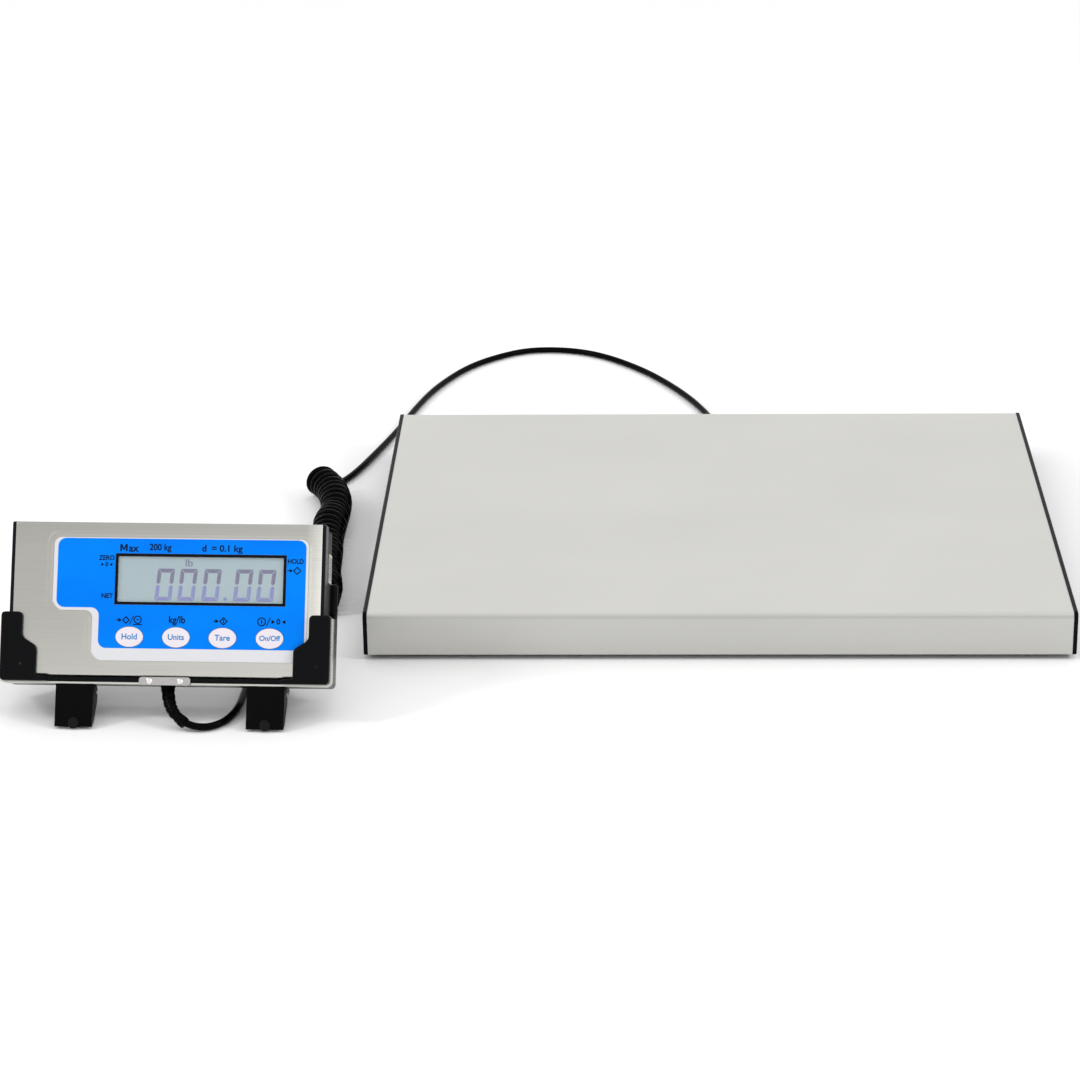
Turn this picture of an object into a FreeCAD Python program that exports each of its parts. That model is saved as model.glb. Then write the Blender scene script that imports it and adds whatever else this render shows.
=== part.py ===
"""Platform shipping scale: a low steel platform and a tilted weight indicator on a coiled lead.

Units are millimetres. +X runs along the platform's long side, +Y away from the reader of the display,
+Z up, and the feet stand on z = 0. The origin is on the table, under the middle of the scale.

The platform is drawn about its own centre. The indicator is drawn upright, with X along its face,
Y into its depth from the face and Z up the face from the face's lower edge, and is then tilted.
"""
import FreeCAD, Part

import math
import os

V = FreeCAD.Vector

# Where the two halves of the scale stand
PLATFORM_AT = V(120.1, 58.7, 0.0)
INDICATOR_AT = V(-256.6, -238.2, 32.3)
INDICATOR_RECLINE = 30.0
INDICATOR_YAW = -2.0

# Platform
PAN_WIDTH = 500.0
PAN_DEPTH = 400.0
PAN_TOP = 35.0
SKIRT_BOTTOM = 4.0
PAN_SHEET = 1.2
PAN_BEND = 4.0
TRIM_WIDTH = 3.0
TRIM_PROUD = 0.5
BASE_BOTTOM = 8.0
BASE_SHEET = 1.5
BASE_GAP = 4.8
BASE_WALL_TOP = 26.0
FOOT_X = 215.0
FOOT_Y = 172.0
FOOT_RADIUS = 14.0
CELL_X = 177.0
CELL_Y = 148.0
CELL_LENGTH = 72.0
CELL_WIDTH = 14.0
CELL_HEIGHT = 10.0
CELL_SPACER = 2.0
CELL_BOLT_RADIUS = 2.5
PAD_RADIUS = 6.5
PAD_HEIGHT = 3.3
PAD_INSET = 8.0
RAIL_WIDTH = 24.0
RAIL_WALL = 1.5
BOARD_THICKNESS = 1.6
SUMMING_BOARD = (80.0, 50.0)
SUMMING_BOARD_Y = 60.0
STANDOFF_HEIGHT = 5.0
WIRE_RADIUS = 1.5

# Indicator housing
FACE_WIDTH = 210.0
FACE_HEIGHT = 105.0
HOUSING_DEPTH = 32.0
SHELL_SHEET = 1.0
CAP_WIDTH = 2.5
CAP_DEPTH = 14.0
POCKET_DEPTH = 0.8
WINDOW_CENTRE = (22.6, 66.2)
WINDOW_SIZE = (116.8, 34.9)
BEZEL_WIDTH = 1.9
KEY_ROW = (-24.8, 7.1, 38.8, 70.9)
KEY_NAMES = ("hold", "units", "tare", "power")
KEY_HEIGHT = 26.8
KEY_SIZE = (18.8, 13.8)
KEY_GAP = 0.3
KEY_FRONT = 0.1
KEY_BACK = 2.6
BOARD_DEPTH = 6.0
BATTERY_RADIUS = 7.25
BATTERY_LENGTH = 50.0
BATTERY_ROW = 15.4
BATTERY_BOX_LOW = 54.5
BATTERY_BOX_FRONT = 14.0
DOOR_LOW = 56.5
DOOR_HIGH = 99.5
DOOR_HALF = 53.0

# Cradle, legs and gland
CRADLE_HALF = 112.4
CRADLE_WALL = 3.8
CRADLE_FRONT = -3.2
CRADLE_BACK = 36.4
TRAY_TOP = -0.5
TRAY_BOTTOM = -4.0
BACK_PLATE_TOP = 53.0
WING_TOP = 68.0
STRAP_SHEET = 1.2
STRAP_FRONT = 2.0
STRAP_BACK = 8.2
STRAP_BEND = 3.0
LEG_CENTRES = (-61.0, 69.3)
LEG_WIDTH = 25.6
LEG_WALL = 2.0
LEG_BOTTOM = -34.6
LEG_END_RADIUS = 4.6
PIN_DEPTH = 12.0
PIN_HEIGHT = -10.2
PIN_RADIUS = 1.5
PIN_CLEARANCE = 0.05
HEEL_CENTRE = 72.0
HEEL_WIDTH = 12.0
HEEL_DEPTHS = (47.0, 60.0)
HEEL_PAD = 1.5
GLAND_A = 0.5
GLAND_DEPTH = 14.5

# Lead: radius, the coil's outer radius, and the points that its route passes by
CORD_RADIUS = 2.5
COIL_RADIUS = 12.5
CORD_EXIT_X = 6.0
CORD_EXIT_Z = 16.0
PLATFORM_LEAD = [
    (126.1, 257.0, 16.0), (126.1, 283.5, 15.8), (125.4, 311.0, 8.5), (122.6, 331.0, 3.2),
    (117.3, 350.0, 2.9), (105.5, 381.0, 2.9), (86.5, 418.5, 2.9), (64.5, 452.5, 2.9),
    (33.0, 486.5, 2.9), (3.0, 502.0, 2.9), (-33.0, 503.0, 2.9), (-60.5, 485.0, 2.9),
    (-86.0, 457.5, 2.9), (-109.0, 409.5, 2.9), (-122.5, 365.0, 2.9), (-136.5, 301.4, 2.9),
    (-151.3, 249.2, 2.9), (-164.5, 206.0, 3.0), (-176.0, 184.5, 4.5), (-184.6, 172.6, 7.0),
]
COIL_AXIS = [
    (-188.4, 169.8, 12.9), (-179.1, 154.9, 12.9), (-172.5, 131.8, 12.9), (-169.6, 107.1, 12.9),
    (-172.1, 81.1, 12.9), (-171.8, 51.1, 12.9), (-169.8, 23.1, 12.9), (-170.2, -3.9, 12.9),
    (-164.8, -37.9, 12.9), (-165.4, -65.1, 12.9),
]
INDICATOR_LEAD = [
    (-165.8, -65.0, 9.0), (-168.2, -80.0, 5.5), (-176.8, -102.9, 3.0), (-191.8, -134.9, 2.9),
    (-203.5, -166.9, 2.9), (-207.4, -192.9, 2.9), (-208.2, -216.9, 2.9), (-211.5, -236.0, 2.9),
    (-218.3, -250.6, 2.9), (-228.8, -256.5, 3.0), (-240.3, -255.2, 4.4), (-247.8, -250.4, 8.2),
]


def box(x0, x1, y0, y1, z0, z1):
    return Part.makeBox(x1 - x0, y1 - y0, z1 - z0, V(x0, y0, z0))


def rod(radius, start, along, length):
    return Part.makeCylinder(radius, length, V(*start), V(*along))


def joined(shapes):
    return shapes[0].fuse(shapes[1:]).removeSplitter()


def group(shapes):
    return Part.makeCompound(shapes)


def corner_arc(before, corner, after, radius):
    """The arc that rounds one corner of an outline, tangent to both of its sides."""
    to_before = (before - corner).normalize()
    to_after = (after - corner).normalize()
    half_angle = to_before.getAngle(to_after) / 2
    reach = radius / math.tan(half_angle)
    inward = (to_before + to_after).normalize()
    middle = corner + inward * (radius / math.sin(half_angle) - radius)
    return Part.Arc(corner + to_before * reach, middle, corner + to_after * reach).toShape()


def rounded_wire(points, radii):
    """A closed outline of straight sides; each corner has its own radius, and 0 keeps it sharp."""
    edges = []
    count = len(points)
    ends = []
    for i, corner in enumerate(points):
        if radii[i] > 0:
            arc = corner_arc(points[i - 1], corner, points[(i + 1) % count], radii[i])
            edges.append(arc)
            ends.append((arc.Vertexes[0].Point, arc.Vertexes[-1].Point))
        else:
            ends.append((corner, corner))
    for i in range(count):
        edges.append(Part.makeLine(ends[i][1], ends[(i + 1) % count][0]))
    return Part.Wire(Part.__sortEdges__(edges))


def prism(outline, radii, plane, low, high):
    """A solid whose outline lies in the plane "xy", "xz" or "yz", drawn from low to high across it."""
    if isinstance(radii, (int, float)):
        radii = [radii] * len(outline)
    place = {
        "xy": lambda p, q: V(p, q, low),
        "xz": lambda p, q: V(p, low, q),
        "yz": lambda p, q: V(low, p, q),
    }[plane]
    along = {"xy": V(0, 0, 1), "xz": V(0, 1, 0), "yz": V(1, 0, 0)}[plane]
    wire = rounded_wire([place(p, q) for p, q in outline], radii)
    return Part.Face(wire).extrude(along * (high - low))


def rectangle(x0, x1, y0, y1):
    return [(x0, y0), (x1, y0), (x1, y1), (x0, y1)]


def oval(centre, size, front, back):
    """An upright elliptical plug through the indicator's face, from depth front to depth back."""
    ellipse = Part.Ellipse(V(0, 0, 0), size[0] / 2, size[1] / 2)
    shape = Part.Face(Part.Wire(ellipse.toShape())).extrude(V(0, 0, back - front))
    shape.rotate(V(0, 0, 0), V(1, 0, 0), -90)
    shape.translate(V(centre[0], front, centre[1]))
    return shape


def corners(half_x, half_y):
    return [(sx * half_x, sy * half_y) for sx in (-1, 1) for sy in (-1, 1)]


def route_wire(points):
    """Straight runs joined by tangent arcs, each as large as its two runs allow."""
    points = [V(*p) for p in points]
    edges = []
    start = points[0]
    smallest = 1e9
    for before, corner, after in zip(points, points[1:], points[2:]):
        shorter = min((corner - before).Length, (after - corner).Length)
        turn = (corner - before).getAngle(after - corner)
        radius = 0.45 * shorter / math.tan(turn / 2)
        smallest = min(smallest, radius)
        arc = corner_arc(before, corner, after, radius)
        first, last = arc.Vertexes[0].Point, arc.Vertexes[-1].Point
        edges.append(Part.LineSegment(start, first).toShape())
        edges.append(arc)
        start = last
    edges.append(Part.LineSegment(start, points[-1]).toShape())
    return Part.Wire(edges), smallest


def tube(name, points, radius):
    """A round cord along a route; its tightest radius and its volume are printed as a check."""
    wire, smallest = route_wire(points)
    first = wire.Edges[0]
    circle = Part.Wire(Part.Circle(first.Vertexes[0].Point, first.tangentAt(0), radius).toShape())
    shape = wire.makePipeShell([circle], True, False, 1)
    expected = math.pi * radius ** 2 * wire.Length
    print(f"{name}: length {wire.Length:.1f}, tightest radius {smallest:.1f}, "
          f"volume {shape.Volume / expected:.4f} of section times length")
    return shape


def on_platform(shape):
    shape.translate(PLATFORM_AT)
    return shape


def on_indicator(shape):
    shape.rotate(V(0, 0, 0), V(1, 0, 0), -INDICATOR_RECLINE)
    shape.rotate(V(0, 0, 0), V(0, 0, 1), INDICATOR_YAW)
    shape.translate(INDICATOR_AT)
    return shape


def table_line(depth):
    """Height up the indicator's face at which the table lies, for a depth behind the face."""
    tilt = math.radians(INDICATOR_RECLINE)
    return (depth * math.sin(tilt) - INDICATOR_AT.z) / math.cos(tilt)


def above_table(shape, gap=0.0):
    """Cuts away what would pass below the table, in the indicator's own upright frame."""
    low = [(-60, table_line(-60)), (90, table_line(90)), (90, -120), (-60, -120)]
    lift = gap / math.cos(math.radians(INDICATOR_RECLINE))
    return shape.cut(prism([(d, b + lift) for d, b in low], 0, "yz", -140, 140))


def save(name, shape):
    shape.exportStep(f"parts/{name}.step")


# ---- Platform ----

def pan_skin():
    """Stainless sheet folded down at the front and back, notched at the back for the lead."""
    half, inner = PAN_DEPTH / 2, PAN_DEPTH / 2 - PAN_SHEET
    under = PAN_TOP - PAN_SHEET
    outline = [
        (-half, SKIRT_BOTTOM), (-half, PAN_TOP), (half, PAN_TOP), (half, SKIRT_BOTTOM),
        (inner, SKIRT_BOTTOM), (inner, under), (-inner, under), (-inner, SKIRT_BOTTOM),
    ]
    inner_bend = PAN_BEND - PAN_SHEET
    reach = PAN_WIDTH / 2 - TRIM_WIDTH
    skin = prism(outline, [0, PAN_BEND, PAN_BEND, 0, 0, inner_bend, inner_bend, 0], "yz", -reach, reach)
    notch = box(CORD_EXIT_X - 13, CORD_EXIT_X + 13, half - 5, half + 5, 0, BASE_WALL_TOP + 1)
    return skin.cut(notch)


def end_trim(side):
    """Black plastic end strip: a thin plate over the skin's end, with a lip tucked inside the skin."""
    proud, lip = TRIM_PROUD, 1.4
    outer = PAN_DEPTH / 2 + proud
    inside = PAN_DEPTH / 2 - PAN_SHEET - 0.1
    plate_in, plate_out = PAN_WIDTH / 2 - TRIM_WIDTH, PAN_WIDTH / 2
    top = PAN_TOP + proud
    plate = prism(rectangle(-outer, outer, SKIRT_BOTTOM - proud, top),
                  [1.8, 1.8, PAN_BEND + proud, PAN_BEND + proud], "yz", plate_in, plate_out)
    rim = [edge for edge in plate.Edges if all(abs(v.X - plate_out) < 0.01 for v in edge.Vertexes)]
    plate = plate.makeFillet(0.9, rim)
    under = PAN_TOP - PAN_SHEET - 0.1
    outline = [
        (-inside, SKIRT_BOTTOM + 1), (-inside, under), (inside, under), (inside, SKIRT_BOTTOM + 1),
        (inside - lip, SKIRT_BOTTOM + 1), (inside - lip, under - lip),
        (-inside + lip, under - lip), (-inside + lip, SKIRT_BOTTOM + 1),
    ]
    bend = PAN_BEND - PAN_SHEET
    tuck = prism(outline, [0, bend, bend, 0, 0, bend - lip, bend - lip, 0], "yz", plate_in - 6, plate_in)
    trim = joined([plate, tuck])
    if side < 0:
        trim = trim.mirror(V(0, 0, 0), V(1, 0, 0))
    return trim


def pan_frame():
    """Welded frame of square tube that stiffens the pan and carries it on the load pads."""
    low, high = BASE_BOTTOM + BASE_SHEET + CELL_SPACER + CELL_HEIGHT + PAD_HEIGHT, PAN_TOP - PAN_SHEET
    half = RAIL_WIDTH / 2

    def rail(x0, x1, y0, y1, along_x):
        outer = box(x0, x1, y0, y1, low, high)
        w = RAIL_WALL
        if along_x:
            return outer, box(x0, x1, y0 + w, y1 - w, low + w, high - w)
        return outer, box(x0 + w, x1 - w, y0, y1, low + w, high - w)

    rails = [rail(-234, 234, s * CELL_Y - half, s * CELL_Y + half, True) for s in (-1, 1)]
    inner = CELL_Y - half
    rails += [rail(x - half, x + half, -inner, inner, False) for x in (-222, -80, 80, 222)]
    solid = joined([outer for outer, _ in rails])
    for _, hollow in rails:
        solid = solid.cut(hollow)
    return solid


def base_frame():
    """Folded sheet tray that stands on the feet and carries the four load cells."""
    half_x = PAN_WIDTH / 2 - TRIM_WIDTH - BASE_GAP
    half_y = PAN_DEPTH / 2 - PAN_SHEET - BASE_GAP
    top = BASE_BOTTOM + BASE_SHEET
    outer = prism(rectangle(-half_x, half_x, -half_y, half_y), 4, "xy", BASE_BOTTOM, BASE_WALL_TOP)
    inner = prism(rectangle(-half_x + BASE_SHEET, half_x - BASE_SHEET, -half_y + BASE_SHEET,
                            half_y - BASE_SHEET), 2.5, "xy", top, BASE_WALL_TOP + 1)
    tray = outer.cut(inner)
    holes = [rod(2.6, (x, y, 0), (0, 0, 1), 20) for x, y in corners(FOOT_X, FOOT_Y)]
    holes += [rod(2.6, (x, y, 0), (0, 0, 1), 20) for x, y in cell_bolt_places()]
    holes.append(rod(5.1, (CORD_EXIT_X, half_y - 5, CORD_EXIT_Z), (0, 1, 0), 10))
    for hole in holes:
        tray = tray.cut(hole)
    return tray


def cell_bolt_places():
    """Two bolts in each cell's fixed end, which points to the middle of the platform."""
    inner = CELL_X - CELL_LENGTH / 2
    return [(sx * (inner + step), sy * CELL_Y) for sx in (-1, 1) for sy in (-1, 1) for step in (7, 18)]


def pad_places():
    outer = CELL_X + CELL_LENGTH / 2 - PAD_INSET
    return corners(outer, CELL_Y)


def rubber_foot(x, y):
    """Turned rubber foot with a recess for its screw's head."""
    profile = [(3, 2.5), (3, BASE_BOTTOM), (FOOT_RADIUS - 2, BASE_BOTTOM), (FOOT_RADIUS, 1.5),
               (FOOT_RADIUS - 1.5, 0), (6, 0), (6, 2.5)]
    wire = Part.makePolygon([V(r, 0, z) for r, z in profile + profile[:1]])
    foot = Part.Face(wire).revolve(V(0, 0, 0), V(0, 0, 1), 360)
    foot.translate(V(x, y, 0))
    return foot


def foot_screw(x, y):
    head = rod(5, (x, y, 0.8), (0, 0, 1), 1.7)
    shank = rod(2.5, (x, y, 2.0), (0, 0, 1), 12.5)
    slot = box(x - 5, x + 5, y - 0.6, y + 0.6, 0.5, 1.6)
    return joined([head, shank]).cut(slot)


def hex_prism(radius, height):
    points = [(radius * math.cos(i * math.pi / 3), radius * math.sin(i * math.pi / 3)) for i in range(6)]
    return prism(points, 0, "xy", 0, height)


def foot_nut(x, y):
    nut = hex_prism(4.6, 4).cut(rod(2.55, (0, 0, -1), (0, 0, 1), 6))
    nut.translate(V(x, y, BASE_BOTTOM + BASE_SHEET))
    return nut


def load_cell(sx, sy):
    """Bending-beam cell: a bar with two cross bores that thin it where the strain gauges sit."""
    low = BASE_BOTTOM + BASE_SHEET + CELL_SPACER
    x0, x1 = CELL_X - CELL_LENGTH / 2, CELL_X + CELL_LENGTH / 2
    y0, y1 = CELL_Y - CELL_WIDTH / 2, CELL_Y + CELL_WIDTH / 2
    cell = box(x0, x1, y0, y1, low, low + CELL_HEIGHT)
    middle = low + CELL_HEIGHT / 2
    for x in (CELL_X - 3, CELL_X + 5):
        cell = cell.cut(rod(3.9, (x, y0 - 1, middle), (0, 1, 0), CELL_WIDTH + 2))
    cell = cell.cut(box(CELL_X - 3, CELL_X + 5, y0 - 1, y1 + 1, middle - 1.5, middle + 1.5))
    for step in (7, 18):
        cell = cell.cut(rod(2.55, (x0 + step, CELL_Y, low - 1), (0, 0, 1), CELL_HEIGHT - 1))
    if sx < 0:
        cell = cell.mirror(V(0, 0, 0), V(1, 0, 0))
    if sy < 0:
        cell = cell.mirror(V(0, 0, 0), V(0, 1, 0))
    return cell


def cell_spacer(sx, sy):
    low = BASE_BOTTOM + BASE_SHEET
    x0 = CELL_X - CELL_LENGTH / 2
    plate = box(min(sx * x0, sx * (x0 + 25)), max(sx * x0, sx * (x0 + 25)),
                sy * CELL_Y - CELL_WIDTH / 2, sy * CELL_Y + CELL_WIDTH / 2, low, low + CELL_SPACER)
    for step in (7, 18):
        plate = plate.cut(rod(2.6, (sx * (x0 + step), sy * CELL_Y, low - 1), (0, 0, 1), 4))
    return plate


def cell_bolt(x, y):
    head = hex_prism(4.4, 3)
    head.translate(V(x, y, BASE_BOTTOM - 3))
    return joined([head, rod(CELL_BOLT_RADIUS, (x, y, BASE_BOTTOM - 1), (0, 0, 1), 12)])


def load_pad(x, y):
    low = BASE_BOTTOM + BASE_SHEET + CELL_SPACER + CELL_HEIGHT
    return rod(PAD_RADIUS, (x, y, low), (0, 0, 1), PAD_HEIGHT)


def board(width, height, thickness, hole_places):
    plate = prism(rectangle(-width / 2, width / 2, -height / 2, height / 2), 2, "xy", 0, thickness)
    for x, y in hole_places:
        plate = plate.cut(rod(1.6, (x, y, -1), (0, 0, 1), thickness + 2))
    return plate


def summing_board_parts():
    """Junction board for the four cells, on four standoffs, with its terminal strip and screws."""
    width, depth = SUMMING_BOARD
    places = corners(width / 2 - 5, depth / 2 - 5)
    low = BASE_BOTTOM + BASE_SHEET
    top = low + STANDOFF_HEIGHT
    plate = board(width, depth, BOARD_THICKNESS, places)
    plate.translate(V(0, SUMMING_BOARD_Y, top))
    standoffs, screws = [], []
    for x, y in places:
        y = y + SUMMING_BOARD_Y
        post = rod(3, (x, y, low), (0, 0, 1), STANDOFF_HEIGHT)
        standoffs.append(post.cut(rod(1.55, (x, y, low), (0, 0, 1), STANDOFF_HEIGHT + 1)))
        head = rod(2.7, (x, y, top + BOARD_THICKNESS), (0, 0, 1), 1.8)
        screws.append(joined([head, rod(1.5, (x, y, low + 1), (0, 0, 1), STANDOFF_HEIGHT + 2)]))
    y = SUMMING_BOARD_Y
    deck = top + BOARD_THICKNESS
    strip = box(-28, 28, y - 5, y + 5, deck, deck + 5)
    for i in range(8):
        strip = strip.cut(rod(1.6, (-24.5 + 7 * i, y, deck + 2), (0, 0, 1), 4))
    return plate, group(standoffs), group(screws), strip


def cell_wire(sx, sy):
    """Lead from a load cell's inner end, along the tray's floor, to the junction board's edge."""
    floor = BASE_BOTTOM + BASE_SHEET + WIRE_RADIUS + 0.1
    start = CELL_X - CELL_LENGTH / 2
    edge = SUMMING_BOARD[0] / 2
    board_z = BASE_BOTTOM + BASE_SHEET + STANDOFF_HEIGHT + BOARD_THICKNESS / 2
    target = SUMMING_BOARD_Y + sy * 12
    away = sy * CELL_Y
    points = [
        (sx * start, away, 14.5), (sx * (start - 12), away, 13.0), (sx * (start - 28), away - sy * 10, floor),
        (sx * (start - 42), away + (target - away) * 0.42, floor),
        (sx * (edge + 28), away + (target - away) * 0.8, floor),
        (sx * (edge + 12), target, 12.6), (sx * edge, target, board_z),
    ]
    return tube("cell wire", points, WIRE_RADIUS)


def gland():
    """Moulded cable gland in the tray's back wall, with its nut inside and a ribbed sleeve outside."""
    wall = PAN_DEPTH / 2 - PAN_SHEET - BASE_GAP
    x, z = CORD_EXIT_X, CORD_EXIT_Z
    cord = rod(CORD_RADIUS + 0.05, (x, wall - 20, z), (0, 1, 0), 60)
    flange = hex_prism(6.3, 4)
    flange.rotate(V(0, 0, 0), V(1, 0, 0), -90)
    flange.translate(V(x, wall, z))
    thread = rod(5.0, (x, wall - 8, z), (0, 1, 0), 9)
    sleeve = Part.makeCone(5.2, 3.4, 20, V(x, wall + 4, z), V(0, 1, 0))
    for step in (4, 8, 12):
        groove = rod(6, (x, wall + 4 + step, z), (0, 1, 0), 1.2)
        groove = groove.cut(rod(3.6, (x, wall + 4 + step, z), (0, 1, 0), 1.2))
        sleeve = sleeve.cut(groove)
    body = joined([flange, thread, sleeve]).cut(cord)
    nut = hex_prism(6.3, 4)
    nut.rotate(V(0, 0, 0), V(1, 0, 0), -90)
    nut.translate(V(x, wall - BASE_SHEET - 4, z))
    nut = nut.cut(rod(5.05, (x, wall - 10, z), (0, 1, 0), 12))
    return body, nut


def inner_lead():
    """The lead's last stretch inside the tray, from the gland to the junction board."""
    wall = PAN_DEPTH / 2 - PAN_SHEET - BASE_GAP
    edge = SUMMING_BOARD_Y + SUMMING_BOARD[1] / 2
    x, z = CORD_EXIT_X, CORD_EXIT_Z
    board_z = BASE_BOTTOM + BASE_SHEET + STANDOFF_HEIGHT + BOARD_THICKNESS / 2
    points = [(x, wall + 3, z), (x, wall - 20, z), (x + 3, wall - 55, 14.2), (x - 1, edge + 22, 13.4),
              (x, edge, board_z)]
    return tube("inner lead", points, CORD_RADIUS)


def make_platform():
    save("pan_skin", on_platform(pan_skin()))
    save("pan_frame", on_platform(pan_frame()))
    save("trim_left", on_platform(end_trim(-1)))
    save("trim_right", on_platform(end_trim(1)))
    save("load_pads", on_platform(group([load_pad(x, y) for x, y in pad_places()])))
    save("base_frame", on_platform(base_frame()))
    feet = corners(FOOT_X, FOOT_Y)
    save("rubber_feet", on_platform(group([rubber_foot(x, y) for x, y in feet])))
    fasteners = [foot_screw(x, y) for x, y in feet] + [foot_nut(x, y) for x, y in feet]
    save("foot_fasteners", on_platform(group(fasteners)))
    sides = [(sx, sy) for sx in (-1, 1) for sy in (-1, 1)]
    for sx, sy in sides:
        name = f"load_cell_{'front' if sy < 0 else 'back'}_{'left' if sx < 0 else 'right'}"
        save(name, on_platform(load_cell(sx, sy)))
    save("cell_spacers", on_platform(group([cell_spacer(sx, sy) for sx, sy in sides])))
    save("cell_bolts", on_platform(group([cell_bolt(x, y) for x, y in cell_bolt_places()])))
    wires = [cell_wire(sx, sy) for sx, sy in sides]
    save("inner_wires", on_platform(group(wires + [inner_lead()])))
    plate, standoffs, screws, strip = summing_board_parts()
    save("junction_board", on_platform(plate))
    save("junction_standoffs", on_platform(standoffs))
    save("terminal_strip", on_platform(strip))
    body, nut = gland()
    save("platform_gland", on_platform(body))
    save("platform_gland_nut", on_platform(nut))
    return on_platform(screws)


# ---- Indicator housing ----

def stepped_outline(inset):
    """The display panel's outline on the face: a rectangle with a step out of its lower left."""
    left, right, low, high = -79.8 + inset, 97.6 - inset, 9.0 + inset, 96.1 - inset
    step_a, step_b = -52.2 + inset, 43.0 + inset
    return [(left, high), (left, step_b), (step_a, step_b), (step_a, low), (right, low), (right, high)]


def window_box(grow, front, back):
    a, b = WINDOW_CENTRE
    w, h = WINDOW_SIZE[0] / 2 + grow, WINDOW_SIZE[1] / 2 + grow
    return box(a - w, a + w, front, back, b - h, b + h)


def key_ovals(grow, front, back):
    size = (KEY_SIZE[0] + 2 * grow, KEY_SIZE[1] + 2 * grow)
    return [oval((a, KEY_HEIGHT), size, front, back) for a in KEY_ROW]


def front_shell():
    """Stainless front: face with a pressed pocket for the panel, and folded top and bottom flanges."""
    t, d = SHELL_SHEET, HOUSING_DEPTH - 1.2
    high = FACE_HEIGHT
    outline = [(d, 0), (0, 0), (0, high), (d, high), (d, high - t), (t, high - t), (t, t), (d, t)]
    half = FACE_WIDTH / 2
    shell = prism(outline, [0, 2, 2, 0, 0, 1, 1, 0], "yz", -half, half)
    bump = prism(stepped_outline(-1.0), 7, "xz", t / 2, POCKET_DEPTH + t)
    shell = joined([shell, bump]).cut(prism(stepped_outline(0), 6, "xz", -1, POCKET_DEPTH))
    shell = shell.cut(window_box(-BEZEL_WIDTH, -1, 5))
    for hole in key_ovals(KEY_GAP, -1, 5):
        shell = shell.cut(hole)
    shell = shell.cut(rod(5.2, (GLAND_A, GLAND_DEPTH, -2), (0, 0, 1), 6))
    return shell


def overlay_film():
    """Printed film in the pocket, open for the display window and the four keys."""
    film = prism(stepped_outline(1.6), 5, "xz", 0.45, POCKET_DEPTH)
    film = film.cut(window_box(0.1, 0, 2))
    for hole in key_ovals(KEY_GAP, 0, 2):
        film = film.cut(hole)
    return film


def window_bezel():
    return window_box(0, 0.35, POCKET_DEPTH).cut(window_box(-BEZEL_WIDTH, 0, 2))


def key(a):
    """Oval key cap; its front edge is rounded and its back faces the switch's plunger."""
    cap = oval((a, KEY_HEIGHT), KEY_SIZE, KEY_FRONT, KEY_BACK)
    rim = [e for e in cap.Edges if e.BoundBox.YMax < KEY_FRONT + 0.01]
    return cap.makeFillet(0.35, rim)


def tact_switch(a):
    body = box(a - 3, a + 3, KEY_BACK + 1.0, BOARD_DEPTH, KEY_HEIGHT - 3, KEY_HEIGHT + 3)
    return joined([body, rod(1.7, (a, KEY_BACK + 0.45, KEY_HEIGHT), (0, 1, 0), 1.0)])


def display_parts():
    """Display glass behind the window, the frame that holds it, and the light guide behind it."""
    glass = window_box(-0.2, 1.85, 4.4)
    holder = window_box(3.5, 1.85, BOARD_DEPTH).cut(window_box(0, 1.8, 5.4))
    guide = window_box(-0.4, 4.45, 5.35)
    return glass, holder, guide


def main_board_parts():
    """Main board behind the panel, on four posts, with its screws."""
    a0, a1, b0, b1 = -50.0, 96.0, 11.0, 94.0
    plate = prism(rectangle(a0, a1, b0, b1), 2, "xz", BOARD_DEPTH, BOARD_DEPTH + BOARD_THICKNESS)
    posts, screws = [], []
    for a in (a0 + 4, a1 - 4):
        for b in (b0 + 4, b1 - 4):
            plate = plate.cut(rod(1.6, (a, 0, b), (0, 1, 0), 20))
            post = rod(2.8, (a, POCKET_DEPTH + SHELL_SHEET, b), (0, 1, 0), BOARD_DEPTH - 1.8)
            posts.append(post.cut(rod(1.55, (a, 2.5, b), (0, 1, 0), 10)))
            head = rod(2.7, (a, BOARD_DEPTH + BOARD_THICKNESS, b), (0, 1, 0), 1.8)
            screws.append(joined([head, rod(1.5, (a, 3, b), (0, 1, 0), 5)]))
    return plate, group(posts), group(screws)


def end_cap(side):
    """Black moulded side of the housing's front half, with a lip that plugs into the steel shell."""
    inner, outer = FACE_WIDTH / 2, FACE_WIDTH / 2 + CAP_WIDTH
    plate = prism(rectangle(0, CAP_DEPTH, 0, FACE_HEIGHT), 2, "yz", inner, outer)
    rim = [e for e in plate.Edges if all(abs(v.X - outer) < 0.01 for v in e.Vertexes)
           and e.BoundBox.YMax < CAP_DEPTH - 0.01]
    plate = plate.makeFillet(0.8, rim)
    s = SHELL_SHEET + 0.05
    ring = prism(rectangle(s, CAP_DEPTH, s, FACE_HEIGHT - s), 1, "yz", inner - 4, inner)
    ring = ring.cut(box(inner - 5, inner + 1, s + 1.5, CAP_DEPTH + 1, s + 1.5, FACE_HEIGHT - s - 1.5))
    cap = joined([plate, ring])
    if side < 0:
        cap = cap.mirror(V(0, 0, 0), V(1, 0, 0))
    return cap


def cover_screw_places():
    return [(-99.0, 97.0), (99.0, 97.0), (-86.0, 75.0), (86.0, 75.0)]


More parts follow.
